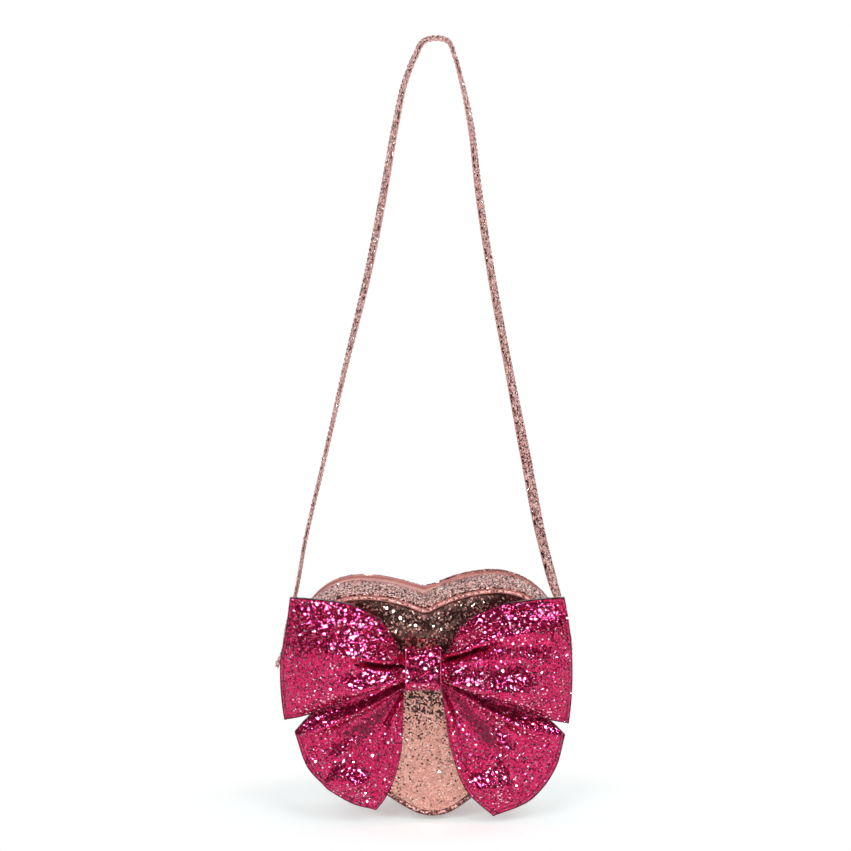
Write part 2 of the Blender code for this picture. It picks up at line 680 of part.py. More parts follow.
def loop_form(span, side):
    """Function of reach and cross shares: place in the bow's plane, middle and swells."""
    seam = bow_levels()[1]
    start = KNOT_WIDTH / 2 - KNOT_TUCK
    rise_knots, rises = zip(*RISE_SHARES)
    fall_knots, falls = zip(*FALL_SHARES)
    puff_knots, puffs = zip(*PUFF_SHARES)

    def form(reach, cross):
        edge = span * (1 - EDGE_ROUND_SHARE * (cross + EDGE_MIDDLE_SHARE)**2)
        across = side * (start + (edge - start) * reach)
        top = LOOP_RISE * smooth_curve(rise_knots, rises, reach)
        bottom = -LOOP_FALL * smooth_curve(fall_knots, falls, reach)
        height = bottom + (top - bottom) * (cross + 1) / 2
        middle = seam - NECK_LIFT * (1 - reach)**3
        swell = smooth_curve(puff_knots, puffs, reach)
        lens = (1 - np.abs(cross)**2.4)**0.6
        fold = LOOP_FOLD * np.sin(math.pi * np.clip(reach / 0.8, 0, 1)) * np.exp(-((cross + 0.15) / 0.18)**2)
        front = np.maximum(LOOP_PUFF * swell * lens - fold, BOW_CLOTH)
        back_puff = LOOP_BACK_PUFF + (NECK_BACK - LOOP_BACK_PUFF) * (1 - reach)**3
        back = np.maximum(back_puff * np.minimum(1, 2 * swell) * lens, BOW_CLOTH)
        return across, height, middle, front, back

    return form


def lens_grid(form, reaches, crosses, wall=0.0):
    """Front and back grids of a puffed form, drawn in by a wall's thickness."""
    reach, cross = np.meshgrid(reaches, crosses, indexing="ij")
    across, height, middle, front, back = form(reach, cross)
    front = np.maximum(front - wall, front * LEAST_HOLLOW_SHARE)
    back = np.maximum(back - wall, back * LEAST_HOLLOW_SHARE)
    return (np.stack([across, middle - front, height], axis=-1), np.stack([across, middle + back, height], axis=-1))


def foam_grid(form, reaches, crosses):
    """Outer and inner grids of the foam that lies behind a loop's front."""
    reach, cross = np.meshgrid(reaches, crosses, indexing="ij")
    across, height, middle, front, _ = form(reach, cross)
    swell = front - BOW_CLOTH - SEAM_GAP
    return (np.stack([across, middle - swell, height], axis=-1),
            np.stack([across, middle - swell * (1 - FOAM_SHARE), height], axis=-1))


def grid_faces(rows, columns, offset):
    return [(offset + i * columns + j, offset + i * columns + j + 1,
             offset + (i + 1) * columns + j + 1, offset + (i + 1) * columns + j)
            for i in range(rows - 1) for j in range(columns - 1)]


def border(rows, columns, offset, with_start):
    """Indices round a grid's border, from the start of one long side to the other."""
    line = [offset + i * columns for i in range(rows)]
    line += [offset + (rows - 1) * columns + j for j in range(1, columns)]
    line += [offset + i * columns + columns - 1 for i in range(rows - 2, -1, -1)]
    if with_start:
        line += [offset + j for j in range(columns - 2, 0, -1)]
    return line


def rim_faces(first, second, closed):
    count = len(first)
    pairs = range(count) if closed else range(count - 1)
    return [(first[i], first[(i + 1) % count], second[(i + 1) % count], second[i]) for i in pairs]


def closed_lens(name, grids, material, parent):
    front, back = grids
    rows, columns = front.shape[:2]
    size = rows * columns
    places = np.concatenate([front.reshape(-1, 3), back.reshape(-1, 3)])
    faces = grid_faces(rows, columns, 0) + grid_faces(rows, columns, size)
    faces += rim_faces(border(rows, columns, 0, True), border(rows, columns, size, True), True)
    return solid(name, places, faces, material, parent)


def hollow_lens(name, form, reaches, crosses, wall, material, parent):
    """A puffed cover that is open at its neck: an outer and an inner lens, joined there."""
    places, faces, necks, offset = [], [], [], 0
    for reach, cross, inward in ((reaches, crosses, 0), (reaches[:-1], crosses[1:-1], wall)):
        front, back = lens_grid(form, reach, cross, inward)
        rows, columns = front.shape[:2]
        size = rows * columns
        places += [front.reshape(-1, 3), back.reshape(-1, 3)]
        faces += grid_faces(rows, columns, offset) + grid_faces(rows, columns, offset + size)
        faces += rim_faces(border(rows, columns, offset, False), border(rows, columns, offset + size, False), False)
        neck = [offset + j for j in range(columns)]
        neck += [offset + size + j for j in range(columns - 1, -1, -1)]
        necks.append(neck)
        offset += 2 * size
    faces += neck_faces(*necks)
    return solid(name, np.concatenate(places), faces, material, parent)


def neck_faces(outer, inner):
    """Flat rim between the outer neck, which has a station more at each end, and the inner."""
    half, inner_half = len(outer) // 2, len(inner) // 2
    faces = []
    for big, small in ((outer[:half], inner[:inner_half]), (outer[half:], inner[inner_half:])):
        for i in range(inner_half - 1):
            faces.append((big[i + 1], big[i + 2], small[i + 1], small[i]))
        faces.append((big[0], big[1], small[0]))
        faces.append((big[-2], big[-1], small[-1]))
    faces.append((outer[half - 1], outer[half], inner[inner_half], inner[inner_half - 1]))
    faces.append((outer[-1], outer[0], inner[0], inner[-1]))
    return faces


def make_loops(bow, finish):
    reaches = np.array(LOOP_REACH_SHARES)
    crosses = np.array(LOOP_CROSS_SHARES)
    for name, side, span in (("left", -1, LOOP_SPAN_LEFT), ("right", 1, LOOP_SPAN_RIGHT)):
        form = loop_form(span, side)
        hollow_lens(f"bow_loop_{name}", form, reaches, crosses, BOW_CLOTH, finish["bow"], bow)
        closed_lens(f"bow_padding_{name}", foam_grid(form, reaches[1:-2], crosses[3:-3]), finish["foam"], bow)


def tail_form(side, reach_length, drop, inner_shares, far_shares):
    """Function of reach and cross shares for a tail, which fans out from the knot."""
    tail = bow_levels()[0]
    size = np.array([reach_length, -drop])
    neck = np.array([KNOT_WIDTH / 2 - KNOT_TUCK, -TAIL_NECK])
    inner = np.concatenate([[neck], np.array(inner_shares) * size])
    far = np.array(far_shares) * size
    far_knots = np.linspace(-1, 1, len(far))

    def form(reach, cross):
        share = (cross[..., None] + 1) / 2
        along = reach[..., None]
        inner_edge = smooth_curve(TAIL_INNER_REACH_SHARES, inner, reach)
        upper_edge = (neck * (1, 0)) * (1 - along) + far[-1] * along
        bow = smooth_curve(far_knots, far, cross) - far[0] * (1 - share) - far[-1] * share
        place = inner_edge * (1 - share) + upper_edge * share + bow * along**1.5
        settle = np.clip(reach / 0.3, 0, 1)
        middle = tail + TAIL_FOLD * np.sin(2 * math.pi * cross) * settle
        half = np.full_like(middle, BOW_CLOTH)
        return side * place[..., 0], place[..., 1], middle, half, half

    return form


def make_tails(bow, finish):
    reaches = np.array(TAIL_REACH_SHARES)
    crosses = np.array(TAIL_CROSS_SHARES)
    tails = (("left", -1, TAIL_REACH_LEFT, TAIL_DROP_LEFT, TAIL_INNER_LEFT_SHARES, TAIL_FAR_LEFT_SHARES),
             ("right", 1, TAIL_REACH_RIGHT, TAIL_DROP_RIGHT, TAIL_INNER_RIGHT_SHARES, TAIL_FAR_RIGHT_SHARES))
    for name, *sizes in tails:
        closed_lens(f"bow_tail_{name}", lens_grid(tail_form(*sizes), reaches, crosses), finish["bow"], bow)


def rounded_rectangle(width, height, radius, corner_steps):
    outline = []
    for quarter, (x, y) in enumerate(((1, 1), (-1, 1), (-1, -1), (1, -1))):
        centre = (x * (width / 2 - radius), y * (height / 2 - radius))
        for angle in np.linspace(0, math.pi / 2, corner_steps) + quarter * math.pi / 2:
            outline.append((centre[0] + radius * math.cos(angle), centre[1] + radius * math.sin(angle)))
    return np.array(outline)


def make_knot(bow, finish):
    """The band round the bow's middle: a rounded tube along X."""
    back = FRONT_Y - PANEL_CROWN - SEAM_GAP
    centre = np.array([back - KNOT_DEPTH / 2, KNOT_RAISE])
    outer = rounded_rectangle(KNOT_DEPTH, KNOT_HEIGHT, KNOT_ROUND, 4) + centre
    inner = rounded_rectangle(KNOT_DEPTH - 2 * BOW_CLOTH, KNOT_HEIGHT - 2 * BOW_CLOTH,
                              KNOT_ROUND - BOW_CLOTH, 4) + centre
    sides = len(outer)
    places = []
    for across in (-KNOT_WIDTH / 2, KNOT_WIDTH / 2):
        for ring in (outer, inner):
            places.append(np.column_stack([np.full(sides, across), ring[:, 0], ring[:, 1]]))
    faces = []
    for side in range(sides):
        beside = (side + 1) % sides
        for one, two in ((0, 1), (1, 3), (3, 2), (2, 0)):
            faces.append((one * sides + side, one * sides + beside, two * sides + beside, two * sides + side))
    solid("bow_knot", np.concatenate(places), faces, finish["bow"], bow)


def make_finishes():
    return {
        "panel": finish_material("champagne_glitter", (0.60, 0.36, 0.30), 0.35, 0.6),
        "gusset": finish_material("rose_glitter", (0.62, 0.36, 0.34), 0.4, 0.5),
        "smooth_pink": finish_material("smooth_pink", (0.75, 0.42, 0.38), 0.5, 0.0),
        "coil": finish_material("pink_coil", (0.70, 0.38, 0.36), 0.4, 0.0),
        "foam": finish_material("foam", (0.85, 0.83, 0.78), 0.9, 0.0),
        "lining": finish_material("pink_lining", (0.80, 0.50, 0.50), 0.8, 0.0),
        "bow": finish_material("magenta_glitter", (0.62, 0.02, 0.12), 0.35, 0.5),
        "metal": finish_material("rose_gold_metal", (0.80, 0.55, 0.45), 0.25, 1.0),
    }


def build():
    clear_scene()
    finish = make_finishes()
    anchor_height = float(anchor_in_bag(1)[1])
    hinge = world_from_bag((0, anchor_height))
    swing = empty("bag_swing_axis", (hinge[0], 0, hinge[1]), -BAG_ROLL)
    bag = empty("bag_frame", (0, BAG_SETBACK, -anchor_height), parent=swing)
    slider_axis = empty("slider_axis", (LOBE_SPREAD, 0, lobe_centre_height()), BAG_ROLL, bag)
    bow = empty("bow_frame", (BOW_SIDE, 0, BOW_HEIGHT), BAG_ROLL, bag)
    make_front(bag, finish)
    make_back(bag, finish)
    make_piping(bag, finish)
    make_gusset(bag, finish)
    make_zip_strips(bag, finish)
    make_zip_tapes(bag, finish)
    make_zip_coils(bag, finish)
    make_zip_tabs(bag, finish)
    slider_top = make_slider(slider_axis, finish)
    make_slider_crown(slider_axis, slider_top, finish)
    make_pull(slider_axis, slider_top, finish)
    make_strap(finish)
    make_strap_ends(bag, finish)
    make_loops(bow, finish)
    make_tails(bow, finish)
    make_knot(bow, finish)


build()
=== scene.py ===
"""Looks of the heart-shaped glitter bag with a large bow, around its CAD model.

Metres, +Z up, the front faces -Y. The bag's pieces are worked out in the bag's own
frame, whose middle is the middle of the heart, and the bow's in a frame at its knot.
"""
import math

import bmesh
import bpy
import numpy as np
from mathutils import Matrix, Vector


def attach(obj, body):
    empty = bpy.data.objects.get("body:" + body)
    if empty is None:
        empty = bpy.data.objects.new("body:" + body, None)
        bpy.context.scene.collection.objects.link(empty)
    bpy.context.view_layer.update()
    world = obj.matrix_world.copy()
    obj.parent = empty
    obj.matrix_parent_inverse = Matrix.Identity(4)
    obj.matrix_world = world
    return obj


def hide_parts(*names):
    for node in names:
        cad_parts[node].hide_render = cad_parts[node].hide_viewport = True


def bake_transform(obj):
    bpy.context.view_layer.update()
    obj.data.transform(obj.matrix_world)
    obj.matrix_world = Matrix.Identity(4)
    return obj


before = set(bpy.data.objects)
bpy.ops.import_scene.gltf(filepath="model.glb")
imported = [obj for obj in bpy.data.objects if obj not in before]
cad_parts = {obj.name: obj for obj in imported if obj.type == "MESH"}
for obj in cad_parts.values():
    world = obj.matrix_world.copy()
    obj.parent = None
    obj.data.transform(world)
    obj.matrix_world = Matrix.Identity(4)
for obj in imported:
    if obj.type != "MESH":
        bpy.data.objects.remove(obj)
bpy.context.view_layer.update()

# Place of the bag under the strap, as in the CAD
BAG_DROP, BAG_SHIFT, BAG_SETBACK, BAG_ROLL = 0.4417, -0.0048, 0.0097, math.radians(2.5)
SEAM_GAP = 0.0003

# Press on the rear of the left shoulder: how deep, how far down with it, where, how wide, at which depths
SHOULDER_PRESS, SHOULDER_SINK = 0.0034, 0.55
SHOULDER_SIDE, SHOULDER_HEIGHT, SHOULDER_REACH, SHOULDER_DEPTHS = -0.082, 0.058, 0.024, (-0.003, 0.016)

# Heart outline
HEART_HEIGHT, LOBE_RADIUS, LOBE_SPREAD = 0.156, 0.047, 0.0455
LOBE_HEIGHT = HEART_HEIGHT / 2 - LOBE_RADIUS
NOTCH_DEPTH, NOTCH_FILLET = 0.0122, 0.008
TIP_RADIUS, TIP_SLOPE = 0.0287, math.radians(31)
SIDE_PULL, FLANK_PULL, SEAM_ANGLE = 0.026, 0.042, math.radians(-12)
FINE_STEP = 0.0016

# Layers of the bag
BAG_DEPTH, GUSSET_BULGE, PANEL_CROWN = 0.055, 0.003, 0.002
CLOTH, PADDING, STIFFENER, LINING, PIPING_RADIUS = 0.0012, 0.003, 0.0015, 0.0006, 0.0015
FRONT_Y, BACK_Y = -BAG_DEPTH / 2, BAG_DEPTH / 2
PANEL_INSET = 2 * PIPING_RADIUS + SEAM_GAP
GUSSET_EDGES = (FRONT_Y + PANEL_INSET, BACK_Y - PANEL_INSET)
CORNER_SHARE, LARGEST_CORNER = 0.45, 0.0004
FACE_SHARES = np.concatenate([np.linspace(0, 0.94, 40), np.linspace(0.95, 0.995, 8)])

# Softness: height and width of the panels' dents, height and number of the puckers at their piping,
# how much of it the back shows, and depth and width of the gusset's sags
DENT, DENT_WIDTH, PUCKER, PUCKERS, BACK_SOFTNESS = 0.00035, 0.045, 0.00012, 62, 0.6
SAG, SAG_WIDTH, SAG_STATIONS = 0.0006, 0.05, 22

# Piping: how its radius swells along it, and how much wider the back one is
PIPING_SWELL, SWELL_LENGTH, BACK_PIPING_EXTRA = 0.03, 0.011, 0.0005

# Zip
ZIP_Y, ZIP_SHOW, TAPE_TUCK, TAPE_CLOTH = BACK_Y - 0.0145, 0.0085, 0.002, 0.0006
TAPE_RISE, TAPE_SLOPE = 0.0006, 0.0015
COIL_SLOT, COIL_WIDTH, COIL_WIRE, COIL_TURN, COIL_HALF_HEIGHT = 0.001, 0.0022, 0.00036, 0.0018, 0.00034
SLIDER_LENGTH, SLIDER_PLATE = 0.0095, 0.0012
TAB_STATIONS = (9, 14)

# Rise of the soft top: over the left lobe, where that faces up and which side it ends on, over the
# notch, and the depths where both set in and fade
LOBE_RISE, FACING_UP, LEFT_TO_RIGHT = 0.0024, (0.3, 0.9), (-0.02, 0.02)
NOTCH_RISE, NOTCH_REACH = 0.0026, 0.0085
RISE_SETS_IN, RISE_FADES, FADED_SHARE = (0.004, 0.017), (0.0195, 0.0242), 0.8

# Stitches: length, gap and radius of a thread
ZIP_STITCH, STRAP_STITCH = (0.0021, 0.0008, 0.00022), (0.0024, 0.001, 0.00022)
ZIP_STITCH_ROWS, STRAP_STITCH_INSET = ((0.0012, "edge"), (0.0026, "inner")), 0.0015

# Strap, with the places between which its legs bend from the strap to the bag
STRAP_WIDTH, STRAP_PLY, STRAP_END_LENGTH, STRAP_STANDOFF = 0.011, 0.001, 0.0146, 0.0009
STRAP_BODY = ("strap", "bag", (-0.007, 0, -0.3885), (-0.007, 0, -0.4125))
STRAP_STEP, STRAP_END_STEPS, LEFT_END_FLARE, LEFT_END_SHARE, TOP_TWIST = 0.0022, 7, 0.0028, 0.9, 8
ANCHOR_ANGLE, ANCHOR_HUG, HUG_SHARES = math.radians(11.5), 0.024, np.array([1.0, 0.66, 0.33])
ANCHOR_RADIUS = LOBE_RADIUS + GUSSET_BULGE + STRAP_STANDOFF + STRAP_PLY

# Stations of the strap's left and right leg: shares of the way to the side and down, twists in degrees,
# and the twists of its last stretch
STRAP_LEGS = {
    -1: ((0.076, 0.136, 0.193, 0.257, 0.331, 0.444, 0.585, 0.719, 0.857, 0.926),
         (0.004, 0.029, 0.064, 0.134, 0.240, 0.383, 0.528, 0.675, 0.824, 0.916),
         (8, 9, 10, 14, 18, 16, 7, 2, 0, 0), (0, 0, 0, 0)),
    1: ((0.078, 0.132, 0.176, 0.246, 0.306, 0.408, 0.533, 0.665, 0.802, 0.878),
        (0.004, 0.030, 0.065, 0.137, 0.246, 0.392, 0.541, 0.692, 0.845, 0.928),
        (8, 6, 8, 15, 20, 24, 26, 36, 33, 29), (22, 10, 3, 0)),
}

# Bow, in a frame at the middle of its knot
BOW_SIDE, BOW_HEIGHT, BOW_CLOTH = -0.0039, 0.0292, 0.0012
LOOP_RISE, LOOP_PUFF, LOOP_BACK_PUFF, NECK_LIFT, NECK_BACK = 0.050, 0.017, 0.004, 0.004, 0.0055
KNOT_WIDTH, KNOT_HEIGHT, KNOT_DEPTH = 0.0246, 0.029, 0.0225
KNOT_CORNER, KNOT_EASE, KNOT_RAISE, KNOT_TUCK, KNOT_LEAN = 0.0091, 0.0008, 0.0009, 0.004, 0.27
NECK_SIDE = KNOT_WIDTH / 2 - KNOT_TUCK

# Knot: place, spread and height of its hems, waist, fall of its edges, height and number of gathers,
# radius of the cords at its edges, strength of the painted shade on its upper part, and between which heights
HEM_PLACE, HEM_SPREAD, HEM_RISE, WAIST, EDGE_FALL = 0.93, 0.05, 0.0005, 0.0006, 0.0011
GATHER, GATHERS, KNOT_CORD, KNOT_TOP_SHADE, TOP_SHADE_HEIGHTS = 0.00015, 14, 0.0002, 0.42, (-0.0085, -0.0045)

# Knot's front: where its lean changes, below the middle as a share of the height, its lean under that
# place and its setback there, and how bare of flakes its painted-shade part is
KNOT_BREAK, KNOT_LOWER_LEAN, KNOT_SETBACK, TOP_SHADE_BARE = 0.24, 0.1, 0.0012, 1.6

# Neck and waves of the tails, and the depths of the tails and of the loops' seams before them
TAIL_NECK, TAIL_FOLD, LOOP_GAP = 0.008, 0.0012, 0.0004
TAIL_Y = FRONT_Y - PANEL_CROWN - 2 * SEAM_GAP - 2 * BOW_CLOTH
LOOP_Y = TAIL_Y - TAIL_FOLD - BOW_CLOTH - LOOP_GAP - LOOP_BACK_PUFF

# Loops along their reach: how high and low their edges stand and how far they puff
RISE_SHARES = ((0.0, 0.22), (0.06, 0.24), (0.2, 0.60), (0.45, 0.87), (0.7, 0.96), (1.0, 1.0))
FALL_SHARES = ((0.0, 0.18), (0.06, 0.21), (0.3, 0.43), (0.5, 0.61), (0.7, 0.80), (0.85, 0.93), (1.0, 1.0))
PUFF_SHARES = ((0.0, 0.40), (0.06, 0.42), (0.16, 0.72), (0.4, 1.0), (0.7, 0.84), (0.9, 0.45), (1.0, 0.07))

# Loops across: how far below the middle they reach furthest, powers of the lens, and of the front
# above and below its middle
WIDEST_BELOW, LENS_POWERS, UPPER_POWER, LOWER_POWER, FRONT_POWER = 0.25, (2.4, 0.6), 1.6, 4.0, 0.85

# Cloth of the bow: height and width of its soft waves and of the loops' fine ones, the fold that
# gets the full painted crease shade, and how far a tail sinks in or stands out where no loop covers it
LOOP_WAVE, LOOP_FINE_WAVE, TAIL_WAVE = (0.0006, 0.021), (0.00011, 0.007), (0.0005, 0.018)
FULL_SHADE_FOLD, TAIL_SINK, TAIL_LIFT = 0.0075, 0.0003, 0.0014

# Tails: reach, drop, and shares of both along the inner edge and the far edge, where along the reach
# the inner ones lie, the arch of the upper edge, and the loops' lower edge over them
TAIL_LEFT = (0.0858, 0.1000, ((0.136, 0.1), (0.147, 0.25), (0.168, 0.6), (0.27, 0.88), (0.365, 1.0)),
             ((0.365, 1.0), (0.607, 0.926), (0.887, 0.71), (1.0, 0.44)))
TAIL_RIGHT = (0.0960, 0.1052, ((0.124, 0.095), (0.145, 0.24), (0.205, 0.57), (0.33, 0.85), (0.498, 1.0)),
              ((0.498, 1.0), (0.761, 0.893), (0.931, 0.692), (1.0, 0.458)))
TAIL_INNER_REACH, TAIL_ARCH = (0.0, 0.08, 0.2, 0.5, 0.8, 1.0), 0.0075 / 0.148
LOOP_HEM_SIDES, LOOP_HEM_DEPTHS, HEM_WIDTH = (0.012, 0.03, 0.055, 0.095), (0.006, 0.014, 0.023, 0.037), 0.014

# Foam of the loops: where it starts and ends along the reach, how far across it goes, its share of
# the loop's swell, and the share of its thickness that its rim keeps
FOAM_START, FOAM_END, FOAM_ACROSS, FOAM_SHARE, FOAM_RIM = 0.07, 0.85, 0.56, 0.3, 0.25

# A fold's width at its start and its gain along it, the shares of it between which it fades, and by
# how much
FOLD_START_WIDTH, FOLD_WIDENING, FOLD_FADE, FOLD_LOSS = 0.45, 0.75, (0.7, 1.0), 0.75

# Folds of the bow: points along a fold, its half width and its height, all in millimetres
LOOP_LEFT_FOLDS = (
    (((-10, 9.5), (-24, 11), (-44, 14), (-66, 15.5)), 5.5, 3.4),
    (((-6, 3), (-18, 4.6), (-32, 7), (-46, 11)), 2.0, -7.5),
    (((-8, -3), (-24, -6), (-46, -11), (-60, -13)), 8.5, 8.0),
    (((-8, -8), (-26, -9.5), (-40, -14)), 2.8, -3.0),
    (((-12, 14), (-24, 21), (-38, 31)), 3.6, -2.4),
    (((-52, 38), (-66, 31), (-80, 28)), 7.0, 1.6),
    (((-62, -16), (-74, -8), (-86, -4)), 5.0, -1.4),
)
LOOP_RIGHT_FOLDS = (
    (((10, 11), (30, 19.5), (48, 27), (68, 29), (88, 27)), 6.0, 4.6),
    (((6, 4), (20, 10), (34, 16), (50, 20)), 1.9, -7.5),
    (((14, -4), (30, -9), (47, -14), (64, -16), (80, -13)), 13.0, 9.0),
    (((8, -4), (20, -9), (32, -15)), 2.6, -3.0),
    (((10, 15), (26, 27), (44, 37)), 3.6, -1.8),
    (((70, -22), (82, -18), (92, -14)), 5.0, -1.8),
)
TAIL_LEFT_FOLDS = (
    (((-12, -13), (-30, -22), (-57, -35), (-81, -46)), 4.6, 6.8),
    (((-14, -17), (-28, -31), (-42, -42), (-58, -48)), 4.2, -6.0),
    (((-14, -20), (-21, -42), (-24, -60), (-30, -90)), 5.0, 4.0),
    (((-26, -32), (-38, -46), (-47, -58)), 4.2, -5.0),
    (((-34, -38), (-48, -52), (-60, -66)), 4.2, 3.0),
    (((-44, -80), (-54, -78), (-64, -72)), 12.0, 6.5),
)
TAIL_RIGHT_FOLDS = (
    (((12, -10), (33, -21), (59, -37), (88, -50)), 5.0, 7.0),
    (((14, -15), (28, -28), (40, -42), (52, -58)), 4.2, -6.5),
    (((14, -20), (20, -40), (23, -60), (32, -92)), 5.0, 4.0),
    (((26, -32), (40, -46), (50, -58)), 4.0, -4.5),
    (((34, -34), (50, -50), (64, -66)), 4.4, 4.6),
    (((38, -84), (50, -84), (62, -80)), 12.0, 6.5),
)

# Each loop: side, span, fall, rise, curve and hollow of its outer edge, and folds
LOOPS = {"left": (-1, 0.095, 0.034, LOOP_RISE, 0.048, 0.018, LOOP_LEFT_FOLDS),
         "right": (1, 0.100, 0.0385, LOOP_RISE - 0.0014, 0.038, 0.0, LOOP_RIGHT_FOLDS)}

# Loose flakes on the glitter cloth: radius, sheet, range of sizes, how far they stand up; a hexagon's
# area over its radius squared, and how many fewer lie under painted shade; the lean and the numbers of
# the palest, and the numbers of the others; the share of the cloth that they cover
FLAKE_RADIUS, FLAKE_SHEET, FLAKE_SIZES, FLAKE_STAND = 0.00062, 0.00008, (0.65, 1.15), 0.45
HEXAGON_AREA, BARE_LOSS = 2.6, 0.8
PALE_LEAN, PALE_NUMBERS, OTHER_NUMBERS = 0.14, (0.935, 1), (0, 0.925)
PLAIN_COVER, ROSE_COVER = 0.3, 0.35

# Glitter pattern: where a flake ends, how much finer the dust is, and the lines of a cut edge
FLAKE_RIM, DUST_FINENESS = (0.50, 0.60), 2.3
CUT_LINE, SEAM_LINE, SEAM_HALF = (0.0004, 0.0010), 0.0027, (0.0002, 0.0005)

# Heights where painted shade darkens the panel under the knot and above it, and the piping round the tip
UNDER_KNOT, ABOVE_KNOT, ROUND_TIP = (-0.470, -0.430), (-0.412, -0.392), (-0.510, -0.450)

# Studio
FLOOR_SIDE, FLOOR_LEVEL, FLOOR_GLOW = 6.0, -0.5236, 0.33
FLOOR_MIDDLE, FLOOR_STRETCH, FLOOR_FADE = (-0.005, 0.02, FLOOR_LEVEL), (1.0, 2.1, 1.0), (0.09, 0.18)
FLOOR_TINT, WHITE, REFLECTED_TINT = (0.77, 0.86, 0.86, 1.0), (1.0, 1.0, 1.0, 1.0), (1.0, 0.6, 0.8, 1.0)
ROOM_DARK, ROOM_DEPTHS = 0.035, (-0.05, 0.35)
SOFT_LAMPS = (("soft_left", (-0.7, -1.2, 0.5), 0.9, 12.0), ("soft_right", (0.8, -1.0, 0.6), 0.9, 11.0))
GLINT_LAMPS = (("glint_left", (-0.75, -1.3, 0.55), 0.14, 26.0),
               ("glint_right", (0.95, -1.2, 0.3), 0.14, 26.0),
               ("glint_top", (-0.05, -0.95, 0.85), 0.13, 26.0),
               ("glint_over", (0.55, -1.1, 0.8), 0.13, 22.0))
LAMP_TARGET, EYE, TARGET = (0, 0, -0.42), (-0.05724, -1.50984, 0.02665), (-0.00834, -0.03577, -0.24670)
FOCAL_LENGTH, SENSOR = 97.6, 36.0


# Places

def at_depth(flat, depth):
    """Places given as side and height, moved to a depth: side, depth and height."""
    return np.stack([flat[..., 0], np.broadcast_to(depth, flat.shape[:-1]), flat[..., 1]], axis=-1)


def rolled(flat):
    """Sides and heights in the bag's frame, turned by its roll and moved under the strap."""
    x, z = flat[..., 0], flat[..., 1]
    cos, sin = math.cos(BAG_ROLL), math.sin(BAG_ROLL)
    return np.stack([BAG_SHIFT + cos * x - sin * z, -BAG_DROP + sin * x + cos * z], axis=-1)


def in_world(points):
    """Turns points of the bag's frame by its roll and moves them under the strap. On the way the rear
    of the left shoulder is pressed in: a bell round its middle that grows towards the back."""
    points = np.asarray(points, float)
    x, y, z = points[..., 0], points[..., 1], points[..., 2]
    away = (x - SHOULDER_SIDE)**2 + (z - SHOULDER_HEIGHT)**2
    pressed = SHOULDER_PRESS * np.exp(-away / SHOULDER_REACH**2) * ease(y, *SHOULDER_DEPTHS)
    flat = np.stack([x + pressed, z - SHOULDER_SINK * pressed], axis=-1)
    return at_depth(rolled(flat), y + BAG_SETBACK)


def bow_in_world(points):
    """Moves points of the bow's frame, which stands upright, to the knot."""
    return np.asarray(points, float) + in_world((BOW_SIDE, 0.0, BOW_HEIGHT))


def smooth_curve(knots, values, where):
    """Cubic through the values at the knots, with slopes from their neighbours."""
    knots, values = np.asarray(knots, float), np.asarray(values, float)
    slopes = np.gradient(values, knots, axis=0)
    where = np.clip(np.asarray(where, float), knots[0], knots[-1])
    left = np.clip(np.searchsorted(knots, where, side="right") - 1, 0, len(knots) - 2)
    width = knots[left + 1] - knots[left]
    t = (where - knots[left]) / width
    if values.ndim > 1:
        t, width = t[..., None], width[..., None]
    return ((2 * t**3 - 3 * t**2 + 1) * values[left] + (t**3 - 2 * t**2 + t) * width * slopes[left]
            + (3 * t**2 - 2 * t**3) * values[left + 1] + (t**3 - t**2) * width * slopes[left + 1])


def ease(value, start, end):
    """0 before start, 1 after end, and a cubic step between them."""
    t = np.clip((np.asarray(value, float) - start) / (end - start), 0, 1)
    return t * t * (3 - 2 * t)


def ripple(x, y, size, seed):
    """Soft unevenness from -1 to 1: the mean of six waves of about that size, turned by the seed."""
    turns = np.random.default_rng(seed).uniform(0, 2 * math.pi, (6, 2))
    total = 0
    for turn, start in turns:
        total = total + np.sin((x * math.cos(turn) + y * math.sin(turn)) * 2 * math.pi / size + start)
    return total / 6


def unit(vectors):
    """Each vector divided by its length."""
    return vectors / np.linalg.norm(vectors, axis=-1, keepdims=True)


def ring_angles(count):
    """Angles at even steps once round a circle."""
    return np.linspace(0, 2 * math.pi, count, endpoint=False)


def run_lengths(points):
    """Distance along a line of points, from its start to each point."""
    return np.concatenate([[0], np.cumsum(np.linalg.norm(np.diff(points, axis=0), axis=1))])


def at_runs(where, run, values):
    """Values at distances along a line, straight between the distances where they are known."""
    return np.stack([np.interp(where, run, values[:, axis]) for axis in range(values.shape[1])], axis=-1)


# Making a piece

def finish_piece(name, points, faces, material, body, nodes, attributes=None, sharp=40):
    """One mesh piece from points and faces, faces outwards, that rides on a body."""
    mesh = bpy.data.meshes.new(name)
    mesh.from_pydata(np.asarray(points, float).reshape(-1, 3).tolist(), [], faces)
    for label, values in (attributes or {}).items():
        layer = mesh.attributes.new(label, "FLOAT", "POINT")
        layer.data.foreach_set("value", np.asarray(values, np.float32).ravel())
    shape = bmesh.new()
    shape.from_mesh(mesh)
    bmesh.ops.recalc_face_normals(shape, faces=shape.faces)
    shape.to_mesh(mesh)
    shape.free()
    mesh.shade_smooth()
    mesh.set_sharp_from_angle(angle=math.radians(sharp))
    mesh.materials.append(material)
    piece = bpy.data.objects.new(name, mesh)
    bpy.context.scene.collection.objects.link(piece)
    if isinstance(body, str):
        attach(piece, body)
    else:
        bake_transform(piece)
    if nodes:
        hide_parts(*nodes)
    return piece


def bag_piece(name, points, faces, material, slot, nodes):
    """A piece of the bag, whose points are given in the bag's frame."""
    return finish_piece(name, in_world(points), faces, material, "bag", nodes)


def bow_piece(name, points, faces, material, nodes, attributes=None, sharp=40):
    """A piece of the bow, whose points are given in the bow's frame."""
    return finish_piece(name, bow_in_world(points), faces, material, "bag", nodes, attributes, sharp)


